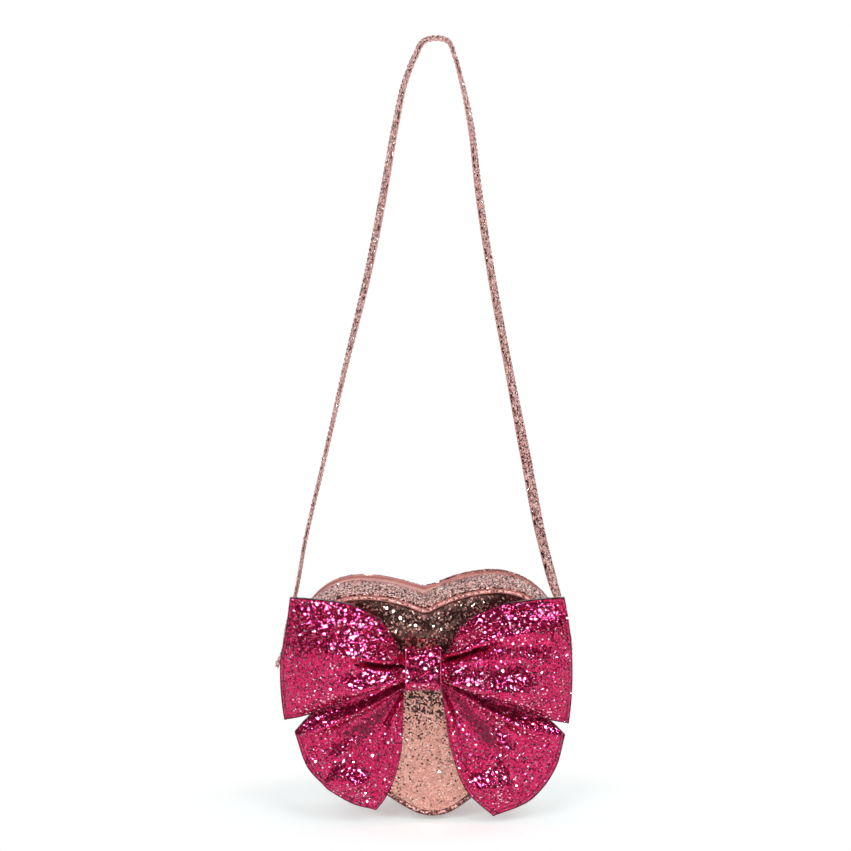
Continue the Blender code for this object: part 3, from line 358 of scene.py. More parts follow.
def quads(rows, columns, wrap_rows=False, wrap_columns=False, start=0):
    """Four-cornered faces of a grid whose points run along its columns first."""
    row = np.arange(rows if wrap_rows else rows - 1)[:, None]
    column = np.arange(columns if wrap_columns else columns - 1)[None, :]
    here, after, beside = row * columns, (row + 1) % rows * columns, (column + 1) % columns
    corners = [here + column, here + beside, after + beside, after + column]
    return (np.stack(corners, axis=-1).reshape(-1, 4) + start).tolist()


def capped(rows, columns):
    """Faces of a tube: a grid that wraps round its columns, with its two ends filled."""
    ends = [list(range(columns)), [(rows - 1) * columns + side for side in range(columns)]]
    return quads(rows, columns, wrap_columns=True) + ends


def along(course, section, closed):
    """Carries a section, as pairs of outward offset and depth, along a course in the bag's plane."""
    points, normals = course
    section = np.asarray(section, float)
    if section.ndim == 2:
        section = np.broadcast_to(section, (len(points), *section.shape))
    places = at_depth(points[:, None, :] + normals[:, None, :] * section[..., :1], section[..., 1])
    rows, columns = places.shape[:2]
    return places, quads(rows, columns, True, True) if closed else capped(rows, columns)


def tube(line, aside, out, radius):
    """Six-sided rings round the points of a line, in its two cross directions."""
    angles = ring_angles(6)[:, None]
    return line[:, None] + radius * (aside[:, None] * np.cos(angles) + out[:, None] * np.sin(angles))


def stitches(name, line, outward, stitch, material, body):
    """Threads in a row: each is a small spindle that lies along the line, half sunk in the cloth."""
    length, gap, radius = stitch
    run = run_lengths(line)
    where = np.linspace(0, run[-1], max(2, int(round(run[-1] / (length + gap))) + 1))
    spots, out = at_runs(where, run, line), at_runs(where, run, outward)
    ahead = unit(np.gradient(spots, axis=0))
    out = unit(out - ahead * (out * ahead).sum(1)[:, None])
    aside = np.cross(ahead, out)
    spots, ahead, out, aside = (values[:, None, None] for values in (spots, ahead, out, aside))
    station = np.array([-0.5, -0.36, 0.0, 0.36, 0.5])[:, None, None]
    thick = np.array([0.25, 0.85, 1.0, 0.85, 0.25])[:, None, None]
    angles = ring_angles(6)[:, None]
    around = out * np.sin(angles) + aside * np.cos(angles)
    ring = ahead * (station * length) + around * (thick * radius)
    places = spots + ring + out * (radius * (1.2 * thick - 0.9))
    start = np.arange(len(spots))[:, None] * 30
    faces = (start[:, None] + np.array(quads(5, 6, wrap_columns=True))).reshape(-1, 4).tolist()
    for cap in (0, 24):
        faces += (start + cap + np.arange(6)).tolist()
    return finish_piece(name, places, faces, material, body, ())


def scatter_flakes(name, grid, outward, share, lean, seed, material, body, bare=0.0):
    """Six-sided flakes strewn evenly over a grid of places, so that they cover a share of it, less
    where it is bare. Each has its own size, turn and lean, and its lower edge sits in the cloth.
    Those that lean upwards get the highest numbers, which are the palest."""
    rng = np.random.default_rng(seed)
    corner, one, two = grid[:-1, :-1], grid[1:, :-1] - grid[:-1, :-1], grid[:-1, 1:] - grid[:-1, :-1]
    cross = np.cross(one, two).reshape(-1, 3)
    area = np.linalg.norm(cross, axis=1)
    count = int(area.sum() * share / (HEXAGON_AREA * FLAKE_RADIUS**2))
    weight = area * (1 - BARE_LOSS * np.broadcast_to(bare, grid.shape[:2])[:-1, :-1].ravel())
    pick = rng.choice(area.size, count, p=weight / weight.sum())
    along_one, along_two = rng.random((2, count, 1))
    corner, one, two = (values.reshape(-1, 3)[pick] for values in (corner, one, two))
    spot = corner + along_one * one + along_two * two
    reference = np.broadcast_to(outward, grid.shape)[:-1, :-1].reshape(-1, 3)[pick]
    normal = cross[pick] / area[pick, None]
    normal = normal * np.sign((normal * reference).sum(1))[:, None]
    radius = FLAKE_RADIUS * rng.uniform(*FLAKE_SIZES, (count, 1))
    tilt = rng.normal(0, lean, (count, 3)) * 3 * rng.random((count, 1))**2
    up = unit(normal + tilt - normal * (tilt * normal).sum(1)[:, None])
    side = unit(np.cross(up, rng.normal(0, 1, (count, 3))))
    drop = np.sqrt(np.maximum(1 - (up * normal).sum(1)**2, 0))[:, None]
    middle = spot + normal * (radius * drop * FLAKE_STAND + FLAKE_SHEET)
    level = up[:, None] * FLAKE_SHEET / 2
    angles = ring_angles(6)[:, None]
    ring = side[:, None] * np.cos(angles) + np.cross(up, side)[:, None] * np.sin(angles)
    top = middle[:, None] + ring * radius[:, None] + level
    start = np.arange(count)[:, None] * 12
    hexagons = np.concatenate([start + np.arange(6), start + np.arange(11, 5, -1)]).tolist()
    walls = np.array([(i, i + 6, (i + 1) % 6 + 6, (i + 1) % 6) for i in range(6)])
    faces = hexagons + (start[:, None] + walls).reshape(-1, 4).tolist()
    pale = up[:, 2] - normal[:, 2] > PALE_LEAN
    numbers = np.where(pale, rng.uniform(*PALE_NUMBERS, count), rng.uniform(*OTHER_NUMBERS, count))
    return finish_piece(name, np.concatenate([top, top - 2 * level], axis=1), faces, material, body, (),
                        {"flake": np.repeat(numbers, 12)})


# Heart outline: each course is its points and its outward directions

def arc(centre, radius, start, end, step, outward=1):
    """Points on a circle from one angle to another; outward is -1 where the circle is a hollow."""
    count = max(2, math.ceil(abs(end - start) * radius / step))
    angles = np.linspace(start, end, count + 1)
    ray = np.column_stack([np.cos(angles), np.sin(angles)])
    return np.asarray(centre) + radius * ray, outward * ray


def on_lobe(side, angles, radius):
    """Points on a circle round a lobe's middle, at angles above the level on its own side."""
    ray = np.stack([side * np.cos(angles), np.sin(angles)], axis=-1)
    return np.array([side * LOBE_SPREAD, LOBE_HEIGHT]) + radius * ray, ray


def chain(parts):
    """Courses joined end to end, without the first point of each after the first."""
    return tuple(np.concatenate([parts[0][kind]] + [part[kind][1:] for part in parts[1:]]) for kind in (0, 1))


def mirrored(half):
    """A course on the other side, run the other way."""
    flip = np.array([-1, 1])
    return half[0][::-1] * flip, half[1][::-1] * flip


def upper_half(step):
    """Right half of the outline from the notch to the seam below the lobe: three arcs."""
    crown_radius = (LOBE_SPREAD**2 + NOTCH_DEPTH**2) / (2 * NOTCH_DEPTH)
    crown_height = HEART_HEIGHT / 2 - crown_radius
    reach = crown_radius + NOTCH_FILLET
    turn = math.asin(LOBE_SPREAD / reach)
    notch = (0, crown_height + math.sqrt(reach**2 - LOBE_SPREAD**2))
    quarter = math.pi / 2
    return chain([arc(notch, NOTCH_FILLET, -quarter, turn - quarter, step, outward=-1),
                  arc((LOBE_SPREAD, crown_height), crown_radius, quarter + turn, quarter, step),
                  arc((LOBE_SPREAD, LOBE_HEIGHT), LOBE_RADIUS, quarter, SEAM_ANGLE, step)])


def lower_half(step):
    """Right half of the outline from the seam down a cubic flank to the round tip."""
    start = on_lobe(1, SEAM_ANGLE, LOBE_RADIUS)[0]
    tip = np.array([0, TIP_RADIUS - HEART_HEIGHT / 2])
    leave = TIP_SLOPE - math.pi / 2
    end = tip + TIP_RADIUS * np.array([math.cos(leave), math.sin(leave)])
    down = np.array([math.sin(SEAM_ANGLE), -math.cos(SEAM_ANGLE)])
    up = np.array([math.cos(TIP_SLOPE), math.sin(TIP_SLOPE)])
    pulls = (start, start + SIDE_PULL * down, end + FLANK_PULL * up, end)
    t = np.linspace(0, 1, math.ceil(np.linalg.norm(start - end) / step) + 1)[:, None]
    points = ((1 - t)**3 * pulls[0] + 3 * t * (1 - t)**2 * pulls[1]
              + 3 * t**2 * (1 - t) * pulls[2] + t**3 * pulls[3])
    ahead = ((1 - t)**2 * (pulls[1] - pulls[0]) + 2 * t * (1 - t) * (pulls[2] - pulls[1])
             + t**2 * (pulls[3] - pulls[2]))
    normals = unit(np.column_stack([-ahead[:, 1], ahead[:, 0]]))
    return chain([(points, normals), arc(tip, TIP_RADIUS, leave, -math.pi / 2, step)])


def zip_course(step):
    """From the right seam over both lobes to the left seam."""
    half = upper_half(step)
    points, normals = chain([mirrored(half), half])
    return points[::-1], normals[::-1]


def base_course(step):
    """From the right seam round the tip to the left seam."""
    half = lower_half(step)
    return chain([half, mirrored(half)])


def full_outline(step):
    """The whole heart once round, from the notch down its right side."""
    right = chain([upper_half(step), lower_half(step)])
    points, normals = chain([right, mirrored(right)])
    return points[:-1], normals[:-1]


def shortened(course, angle):
    """The course without an angle of the round lobe at each end."""
    run = run_lengths(course[0])
    length = angle * LOBE_RADIUS + SEAM_GAP
    keep = (run > length) & (run < run[-1] - length)
    first, last = (on_lobe(side, SEAM_ANGLE + angle, LOBE_RADIUS) for side in (1, -1))
    return tuple(np.concatenate([[first[kind]], course[kind][keep], [last[kind]]]) for kind in (0, 1))


def bulge(depth):
    """How far the gusset stands out at a depth, most in its middle."""
    return GUSSET_BULGE * (1 - (2 * np.asarray(depth) / BAG_DEPTH)**2)


# Finishes

class Value:
    """One output in a finish's graph; an expression on it adds its Math nodes."""

    def __init__(self, tree, output=None):
        self.tree, self.output = tree, output

    def node(self, kind, settings, values, result=0):
        """Adds a node, sets its settings and then its sockets, and gives one of its outputs."""
        made = self.tree.nodes.new(kind)
        for key, value in settings.items():
            if key == "stops":
                fill_ramp(made.color_ramp, value)
            else:
                setattr(made, key, value)
        for key, value in values.items():
            if isinstance(value, Value):
                self.tree.links.new(value.output, made.inputs[key])
            else:
                made.inputs[key].default_value = value
        return Value(self.tree, made.outputs[result])

    def maths(self, operation, *others):
        return self.node("ShaderNodeMath", {"operation": operation}, dict(enumerate((self, *others))))

    def vector(self, operation, *others, result=0):
        """Vector maths; a length is result 1."""
        values = dict(enumerate((self, *others)))
        return self.node("ShaderNodeVectorMath", {"operation": operation}, values, result)

    def __add__(self, other):
        return self.maths("ADD", other)

    def __sub__(self, other):
        return self.maths("SUBTRACT", other)

    def __rsub__(self, other):
        return self.node("ShaderNodeMath", {"operation": "SUBTRACT"}, {0: other, 1: self})

    def __mul__(self, other):
        return self.maths("MULTIPLY", other)

    __radd__, __rmul__ = __add__, __mul__

    def between(self, start, end):
        """0 where the value is at or before start, 1 at or after end."""
        return self.node("ShaderNodeMapRange", {"interpolation_type": "SMOOTHSTEP"},
                         {0: self, 1: start, 2: end, 3: 0.0, 4: 1.0})

    def blended(self, first, second):
        """Colour that goes from the first to the second as this value goes from 0 to 1."""
        return self.node("ShaderNodeMix", {"data_type": "RGBA"}, {0: self, 6: first, 7: second}, 2)

    def shaded(self, stops):
        """Colour of a ramp at this value."""
        return self.node("ShaderNodeValToRGB", {"stops": stops}, {0: self})

    def channel(self, number):
        return self.node("ShaderNodeSeparateColor", {}, {0: self}, number)

    def axis(self, number):
        return self.node("ShaderNodeSeparateXYZ", {}, {0: self}, number)

    def attribute(self, name):
        return self.node("ShaderNodeAttribute", {"attribute_name": name}, {}, 2)

    def noise(self, scale, detail):
        """Clouds over this place."""
        return self.node("ShaderNodeTexNoise", {}, {"Vector": self, "Scale": scale, "Detail": detail})

    def cells(self, scale, randomness=1.0, result=0):
        """Cell pattern over this place: distance from a cell's middle, or as result 1 its colour."""
        values = {"Vector": self, "Scale": scale, "Randomness": randomness}
        return self.node("ShaderNodeTexVoronoi", {}, values, result)

    def bands(self, way, scale, distortion=0.0, detail=2.0):
        """Waves over this place that run one way."""
        values = {"Vector": self, "Scale": scale, "Distortion": distortion, "Detail": detail}
        return self.node("ShaderNodeTexWave", {"bands_direction": way}, values, 1)

    def bumped(self, strength, distance):
        """Normal of a surface whose height is this value."""
        return self.node("ShaderNodeBump", {}, {"Strength": strength, "Distance": distance, "Height": self})


def fill_ramp(ramp, stops):
    ramp.interpolation = "LINEAR"
    while len(ramp.elements) < len(stops):
        ramp.elements.new(0.5)
    for element, (position, colour) in zip(ramp.elements, stops):
        element.position, element.color = position, colour


def rgb(red, green, blue):
    """Colour written as the eye sees it, 0 to 255, in the linear light that shaders use."""
    share = np.array([red, green, blue]) / 255
    linear = np.where(share <= 0.04045, share / 12.92, ((share + 0.055) / 1.055)**2.4)
    return (*(float(value) for value in linear), 1.0)


def new_finish(name, **constants):
    """A finish: its material, its place on the object, and its shader with the constants set."""
    material = bpy.data.materials.new(name)
    material.use_nodes = True
    shader = material.node_tree.nodes["Principled BSDF"]
    for socket, value in constants.items():
        shader.inputs[socket.replace("_", " ")].default_value = value
    place = Value(material.node_tree).node("ShaderNodeTexCoord", {}, {}, 3)
    return material, place, shader


def feed(shader, **values):
    for socket, value in values.items():
        value.tree.links.new(value.output, shader.inputs[socket.replace("_", " ")])


def given(setting, place):
    """A setting that is a plain value or a function of the place."""
    return setting(place) if callable(setting) else setting


def glitter(name, flake, shades, dark, dark_share, spark, tilt=0.7, metallic=0.85, roughness=0.05,
            gloss=0.8, edges=None):
    """Cloth covered in flakes: each cell of a cell pattern is one flake with its own shade and its own
    tilt, the cube of a random share, so that most lie nearly flat. Finer dust shows between them.
    dark is the colour of the dark flakes and dark_share their share, each a value or a function of the
    place, and edges are the colours of a cut edge and of its seam line. The seam line's colour is also
    painted as shade into the bow's sunken folds and onto the knot's upper part."""
    material, place, shader = new_finish(name, Metallic=metallic, Specular_IOR_Level=gloss)
    spot, dust_spot = place.cells(1 / flake, 0.95, 1), place.cells(DUST_FINENESS / flake, 1.0, 1)
    parts = [spot.channel(number) for number in range(3)]
    between = place.cells(1 / flake, 0.95).between(*FLAKE_RIM)
    patches = place.noise(70.0, 2.0)
    shade = (parts[1] * 0.8 + patches * 0.2).shaded(shades)
    dust_shade = (dust_spot.channel(0) * 0.6).shaded(shades)
    colour = between.blended(shade, dust_shade)
    deep = given(dark_share, place) - parts[0] + (patches - 0.5) * 0.25
    colour = deep.between(0.0, 0.02).blended(colour, given(dark, place))
    sparkle = parts[2].between(spark[0], spark[0] + 0.02) * (1 - between)
    colour = sparkle.blended(colour, spark[1])
    if edges:
        rim = place.attribute("edge")
        cut = 1 - rim.between(*CUT_LINE)
        seam = (rim - SEAM_LINE).maths("ABSOLUTE").between(*SEAM_HALF)
        # Painted shade: the bow's sunken folds and the knot's upper part darken towards the seam line's
        # colour
        painted_shading = (place.attribute("crease") * 1.7 - parts[0]).between(0.0, 0.5)
        colour = cut.blended(colour, edges[0])
        colour = ((1 - seam) * 0.7).blended(colour, edges[1])
        colour = (painted_shading * 0.7).blended(colour, edges[1])
    lean = between.blended(spot, dust_spot).vector("SUBTRACT", (0.5, 0.5, 0.5))
    cubed = lean.vector("MULTIPLY", lean).vector("MULTIPLY", lean)
    flat = place.node("ShaderNodeNewGeometry", {}, {}, 1)
    tilted = flat.vector("ADD", cubed.vector("MULTIPLY", (tilt * 8,) * 3)).vector("NORMALIZE")
    feed(shader, Base_Color=colour, Roughness=roughness + parts[1] * 0.03, Normal=tilted)
    return material


def flake_finish(name, shades, dark, dark_share, spark):
    """Loose chunky flakes: each has one shade, drawn from its own number in the flake attribute."""
    material, place, shader = new_finish(name, Metallic=0.85, Specular_IOR_Level=0.8)
    number = place.attribute("flake")
    film = place.noise(900.0, 1.0)
    other = (number * 7.0).maths("FRACT")
    shade = (other * 0.85 + film * 0.15).shaded(shades)
    deep = (given(dark_share, place) - number).between(0.0, 0.01)
    sparkle = number.between(spark[0], spark[0] + 0.005)
    colour = sparkle.blended(deep.blended(shade, given(dark, place)), spark[1])
    feed(shader, Base_Color=colour, Roughness=0.05 + other * 0.03 + film * 0.02)
    return material


def smooth_cloth(name, colour, shadow, grain, roughness, depth):
    """Smooth coated cloth: soft patches of a darker tone and a fine pebbled grain."""
    material, place, shader = new_finish(name, Specular_IOR_Level=0.25)
    patches = place.noise(90.0, 3.0)
    tone = patches.between(0.35, 0.7).blended(shadow, colour)
    feed(shader, Base_Color=tone, Roughness=roughness + patches * 0.2,
         Normal=place.cells(1 / grain).bumped(0.35, depth))
    return material


def woven(name, colour, shadow, thread_width, roughness):
    """Plain weave on Object coordinates: two sets of waves cross, one over the other. At scale 1 the
    bands of a wave pattern lie 0.314 apart."""
    material, place, shader = new_finish(name)
    waves = [place.bands(way, 0.314 / thread_width, 0.6, 1.0) for way in "XZ"]
    height = waves[0].maths("MAXIMUM", waves[1])
    patches = place.noise(120.0, 2.0)
    tone = (height * 0.3 + patches * 0.7).between(0.1, 0.9).blended(shadow, colour)
    feed(shader, Base_Color=tone, Roughness=roughness + patches * 0.15,
         Normal=height.bumped(0.5, thread_width / 3))
    return material


def foam(name):
    """Cut foam: round pores, painted a little darker than the walls between them as shade in the hollows."""
    material, place, shader = new_finish(name, Roughness=0.9)
    pores = place.cells(1400.0)
    tone = pores.between(0.1, 0.6).blended(rgb(205, 198, 182), rgb(240, 236, 226))
    feed(shader, Base_Color=tone, Normal=pores.bumped(0.6, 0.0003))
    return material


def plated_metal(name):
    """Rose-gold plating: fine scratches, and a duller tone where hands have rubbed it."""
    material, place, shader = new_finish(name, Metallic=1.0)
    stretched = place.node("ShaderNodeMapping", {}, {"Vector": place, "Scale": (1.0, 9.0, 1.0)})
    scratches = stretched.noise(900.0, 4.0)
    tone = place.noise(260.0, 2.0).between(0.4, 0.7).blended(rgb(232, 186, 168), rgb(206, 152, 134))
    feed(shader, Base_Color=tone, Roughness=0.18 + scratches * 0.2, Normal=scratches.bumped(0.15, 0.0001))
    return material


def thread(name, colour, shadow):
    """Twisted thread: slanting fine bands."""
    material, place, shader = new_finish(name, Specular_IOR_Level=0.1)
    bands = place.bands("DIAGONAL", 700.0)
    feed(shader, Base_Color=bands.blended(shadow, colour), Roughness=0.55 + bands * 0.1,
         Normal=bands.bumped(0.4, 0.0001))
    return material


def panel_dark_and_shade_share(place):
    """Few dark flakes low on the front, many under the knot, and nearly all of them above it: partly the
    glitter's own dark flakes, partly painted shade under the knot and on the upward-facing top.
    """
    height = place.axis(2) + (place.noise(32.0, 2.0) - 0.5) * 0.03
    return 0.05 + height.between(*UNDER_KNOT) * 0.46 + height.between(*ABOVE_KNOT) * 0.3


def panel_dark(place):
    """The dark flakes' colour: deep brown under the knot, and a milder brown above it."""
    return place.axis(2).between(*ABOVE_KNOT).blended(rgb(60, 36, 31), rgb(98, 65, 58))


def piping_dark_and_shade_share(place):
    """More dark flakes round the tip of the heart than over its lobes: the extra ones are painted shade near
    the floor.
    """
    return 0.32 + (1 - place.axis(2).between(*ROUND_TIP)) * 0.2


BOW_SHADES = ((0.0, rgb(160, 18, 72)), (0.3, rgb(204, 26, 90)), (0.7, rgb(224, 38, 106)),
              (1.0, rgb(242, 88, 148)))
PANEL_SHADES = ((0.0, rgb(192, 130, 116)), (0.4, rgb(230, 166, 152)), (0.8, rgb(246, 190, 176)),
                (1.0, rgb(254, 222, 210)))
ROSE_SHADES = ((0.0, rgb(168, 114, 108)), (0.4, rgb(222, 168, 160)), (1.0, rgb(255, 226, 220)))
BOW_DARK, ROSE_DARK, PIPING_DARK = rgb(104, 10, 52), rgb(84, 50, 46), rgb(100, 62, 56)
BOW_SPARK, PANEL_SPARK, ROSE_SPARK = rgb(255, 214, 232), rgb(255, 240, 232), rgb(255, 232, 226)

BOW_GLITTER = glitter("magenta_glitter", 0.00115, BOW_SHADES, BOW_DARK, 0.14, (0.88, BOW_SPARK),
                      metallic=0.78, gloss=1.0, edges=(rgb(52, 4, 18), rgb(96, 8, 40)))
PANEL_GLITTER = glitter("champagne_glitter", 0.00125, PANEL_SHADES, panel_dark, panel_dark_and_shade_share,
                        (0.95, PANEL_SPARK), tilt=0.42, metallic=0.7)
ROSE_GLITTER = glitter("rose_glitter", 0.0014, ROSE_SHADES, ROSE_DARK, 0.28, (0.92, ROSE_SPARK), tilt=0.42)
PIPING_GLITTER = glitter("piping_glitter", 0.0011, ROSE_SHADES, PIPING_DARK, piping_dark_and_shade_share,
                         (0.95, ROSE_SPARK), tilt=0.45, metallic=0.3, roughness=0.75, gloss=0.08)

BOW_FLAKES = flake_finish("magenta_flakes", BOW_SHADES, BOW_DARK, 0.16, (0.93, BOW_SPARK))
PANEL_FLAKES = flake_finish("champagne_flakes", PANEL_SHADES, panel_dark, panel_dark_and_shade_share,
                            (0.93, PANEL_SPARK))
ROSE_FLAKES = flake_finish("rose_flakes", ROSE_SHADES, ROSE_DARK, 0.3, (0.93, ROSE_SPARK))
STRAP_PINK = smooth_cloth("strap_pink", rgb(206, 156, 146), rgb(182, 132, 124), 0.0005, 0.6, 0.00008)
TAPE = woven("zip_tape_weave", rgb(232, 180, 170), rgb(200, 148, 140), 0.00045, 0.7)
COIL = smooth_cloth("zip_coil_nylon", rgb(224, 148, 140), rgb(204, 128, 122), 0.0008, 0.3, 0.00004)
LINING_CLOTH = woven("lining_cloth", rgb(232, 172, 172), rgb(204, 140, 142), 0.0004, 0.55)
FOAM = foam("padding_foam")
METAL = plated_metal("rose_gold_metal")
ROSE_THREAD = thread("rose_thread", rgb(214, 142, 136), rgb(160, 96, 92))
BROWN_THREAD = thread("brown_thread", rgb(150, 84, 76), rgb(96, 48, 44))
BOW_THREAD = thread("bow_thread", rgb(196, 84, 124), rgb(150, 44, 84))


# Bag: panels, piping and gusset

def heart_plate(name, profile, material, slot, nodes, softness):
    """Heart-shaped plate. Its profile runs from the middle of one face over the rim to the middle of
    the other, each point an inward offset, a share of the way to the outline and a depth. Gives its
    rings of places, each closed."""
    points, normals = full_outline(FINE_STEP)
    middle = np.array([0, LOBE_HEIGHT / 2])
    inset, share, depth = np.array(profile, float).T[..., None]
    flat = middle + (points[None] - normals[None] * inset[..., None] - middle) * share[..., None]
    places = at_depth(flat, depth + softness * soft_relief(flat, share))
    rows, columns = len(places) - 2, places.shape[1]
    faces = quads(rows, columns, wrap_columns=True)
    for pole, ring in ((rows * columns, 0), (rows * columns + 1, (rows - 1) * columns)):
        faces += [(ring + side, ring + (side + 1) % columns, pole) for side in range(columns)]
    every = np.concatenate([places[1:-1].reshape(-1, 3), places[0, :1], places[-1, :1]])
    plate = bag_piece(name, every, faces, material, slot, nodes)
    slot == "foam"
    return in_world(np.concatenate([places, places[:, :1]], axis=1))


def crowned_profile(inset, outer, inner, crown):
    """Both faces swell to the front towards the middle, and the rim between them is round."""
    lift = crown * (1 - ease(FACE_SHARES, 0.7, 1.0))
    turn = np.linspace(0, math.pi, 7)[1:-1]
    half = (inner - outer) / 2
    rim = [(inset + half * (1 - math.sin(a)), 1.0, (outer + inner) / 2 - half * math.cos(a)) for a in turn]
    front, back = ([(inset, share, depth - rise) for share, rise in zip(FACE_SHARES, lift)]
                   for depth in (outer, inner))
    return front + rim + back[::-1]


def soft_relief(flat, share):
    """Shallow dents of a soft panel, and small puckers that run in from its piping."""
    x, z = flat[..., 0], flat[..., 1]
    dents = DENT * ripple(x, z, DENT_WIDTH, 3) * ease(1 - share, 0.0, 0.12)
    puckers = PUCKER * np.sin(np.arctan2(z, x) * PUCKERS)
    return dents + puckers * ease(share, 0.86, 0.97) * ease(1.0 - share, 0.0, 0.02)


def make_panels():
    """Cloth, foam and lining of each side, from the outside in, with flakes strewn on its cloth."""
    count = len(FACE_SHARES)
    sides = (("front", 1, FRONT_Y, PANEL_CROWN, 1.0, PANEL_GLITTER, "panel",
              (slice(count), 0.12, 11, PANEL_FLAKES)),
             ("back", -1, BACK_Y, 0.0, -BACK_SOFTNESS, ROSE_GLITTER, "gusset",
              (slice(-count, None), 0.14, 12, ROSE_FLAKES)))
    for side, inwards, depth, crown, softness, cloth, cloth_slot, (outside, lean, seed, flakes) in sides:
        for layer, kind, inset, thick, material, slot in (
                ("panel", "cloth", PANEL_INSET, CLOTH, cloth, cloth_slot),
                ("padding", "foam", PANEL_INSET + CLOTH, PADDING, FOAM, "foam"),
                ("lining", "cloth", PANEL_INSET + CLOTH, LINING, LINING_CLOTH, "lining")):
            first, last = sorted((depth, depth + inwards * thick))
            grid = heart_plate(f"{side}_{layer}_{kind}", crowned_profile(inset, first, last, crown), material,
                               slot, [f"{side}_{layer}"], softness if layer == "panel" else 0.0)
            if layer == "panel":
                scatter_flakes(f"{side}_panel_flakes", grid[outside], (0, -inwards, 0), PLAIN_COVER, lean,
                               seed, flakes, "bag")
            depth += inwards * (thick + SEAM_GAP)


def make_piping():
    """Piping: a round cord in glitter cloth, whose radius swells and narrows a little along it. Fine
    smooth cords lie along both sides of the front one over the lobes, a brown one along its base, and
    one along the rear of the back one."""
    course = full_outline(FINE_STEP)
    swell = np.sin(run_lengths(course[0]) * 2 * math.pi / SWELL_LENGTH)
    radius = PIPING_RADIUS * (1 - PIPING_SWELL + PIPING_SWELL * swell)[:, None]
    angles = ring_angles(14)
    front, back = FRONT_Y + PIPING_RADIUS, BACK_Y - PIPING_RADIUS
    for name, depth, wider, material in (("front_piping", front, 0.0, PIPING_GLITTER),
                                         ("back_piping", back, BACK_PIPING_EXTRA, ROSE_GLITTER)):
        offset = (radius + wider) * np.cos(angles) - PIPING_RADIUS + wider
        section = np.stack([offset, radius * np.sin(angles) + depth], axis=-1)
        bag_piece(f"{name}_cord", *along(course, section, True), material, "smooth_pink", [name])
    for name, route, depth, turn, radius, material in (
            ("front_seam_upper", zip_course, front, -0.15, 0.00042, ROSE_THREAD),
            ("front_seam_lower", zip_course, front, -0.62, 0.00036, ROSE_THREAD),
            ("front_seam_base", base_course, front, -0.12, 0.00036, BROWN_THREAD),
            ("back_seam_upper", zip_course, back, 0.42, 0.00042, ROSE_THREAD),
            ("back_seam_base", base_course, back, 0.5, 0.00036, ROSE_THREAD)):
        angle = turn * math.pi
        middle = (PIPING_RADIUS * (math.cos(angle) - 1), depth + PIPING_RADIUS * math.sin(angle))
        section = np.array(middle) + radius * np.column_stack([np.cos(angles[::2]), np.sin(angles[::2])])
        bag_piece(name, *along(route(FINE_STEP), section, False), material, "smooth_pink", [])


def soft_section(edges, top, thickness, dents):
    """Section of a layer of the gusset with rounded edges; dents are a row of offsets for each station."""
    depths = np.linspace(*edges, dents.shape[1])
    across = np.broadcast_to(depths, dents.shape)
    outer, inner = (np.stack([bulge(depths) - top - below + dents, across], axis=-1)
                    for below in (0.0, thickness))
    corner = min(thickness * CORNER_SHARE, LARGEST_CORNER)
    outer[:, [0, -1], 0] -= corner
    first, last = outer[:, :1] + (corner, corner), outer[:, -1:] + (corner, -corner)
    return np.concatenate([outer[:, :1], first, outer[:, 1:-1], last, outer[:, -1:], inner[:, ::-1]], axis=1)


def swept_layer(name, course, edges, top, thick, dents, material, slot, node):
    """A layer of the gusset or the zip carried along its course. Gives the piece and its places, whose
    first columns are its outer line."""
    places, faces = along(course, soft_section(edges, top, thick, dents), False)
    return bag_piece(name, places, faces, material, slot, [node]), places


def strew_on_skin(name, course, places, columns, seed):
    """Flakes on the outer side of a swept skin, whose first columns are its outer line."""
    outward = in_world(at_depth(course[1], 0.0)) - in_world((0, 0, 0))
    scatter_flakes(name, in_world(places[:, :columns]), outward[:, None], ROSE_COVER, 0.22, seed, ROSE_FLAKES,
                   "bag")


def make_gusset():
    """Cloth, stiffener and lining round the base, with slow sags along them, none at their seams."""
    course = base_course(FINE_STEP)
    across = np.linspace(0, 1, SAG_STATIONS)[None]
    breadth = GUSSET_EDGES[1] - GUSSET_EDGES[0]
    waves = ripple(run_lengths(course[0])[:, None], across * breadth, SAG_WIDTH, 8)
    dents = -SAG * (0.5 + 0.5 * waves) * np.sin(math.pi * across)
    top = 0.0
    for name, thick, material, slot in (("gusset_band", CLOTH, ROSE_GLITTER, "gusset"),
                                        ("gusset_stiffener", STIFFENER, FOAM, "foam"),
                                        ("gusset_lining", LINING, LINING_CLOTH, "lining")):
        layer, places = swept_layer(f"{name}_layer", course, GUSSET_EDGES, top, thick, dents, material, slot,
                                    name)
        slot == "foam"
        if slot == "gusset":
            strew_on_skin(f"{name}_flakes", course, places, SAG_STATIONS + 2, 21)
        top += thick + SEAM_GAP


# Zip

def tab_angle():
    """Angle from the seam to the end of the tab, which the closed slider nearly touches."""
    slider_end = math.atan(SLIDER_LENGTH / 2 / (LOBE_RADIUS - CLOTH - SLIDER_PLATE))
    return -BAG_ROLL - slider_end - SEAM_GAP / LOBE_RADIUS - SEAM_ANGLE


def crest(course, depths):
    """How far the soft top stands above the plain bulge behind its front edge: most over the left
    lobe, and over the notch, which the cloth rounds off."""
    points, normals = course
    over = ease(normals[:, 1], *FACING_UP) * LOBE_RISE * (1 - ease(points[:, 0], *LEFT_TO_RIGHT))
    over = over + NOTCH_RISE * np.exp(-(points[:, 0] / NOTCH_REACH)**2)
    depths = np.asarray(depths, float)
    return over[:, None] * (ease(depths, *RISE_SETS_IN) * (1 - FADED_SHARE * ease(depths, *RISE_FADES)))[None]


def surface_line(course, depth):
    """A line on the gusset's surface at a depth, and the outward directions along it."""
    points, normals = course
    line = at_depth(points + normals * (float(bulge(depth)) + crest(course, [depth])), depth)
    return in_world(line), in_world(line + at_depth(normals, 0.0)) - in_world(line)


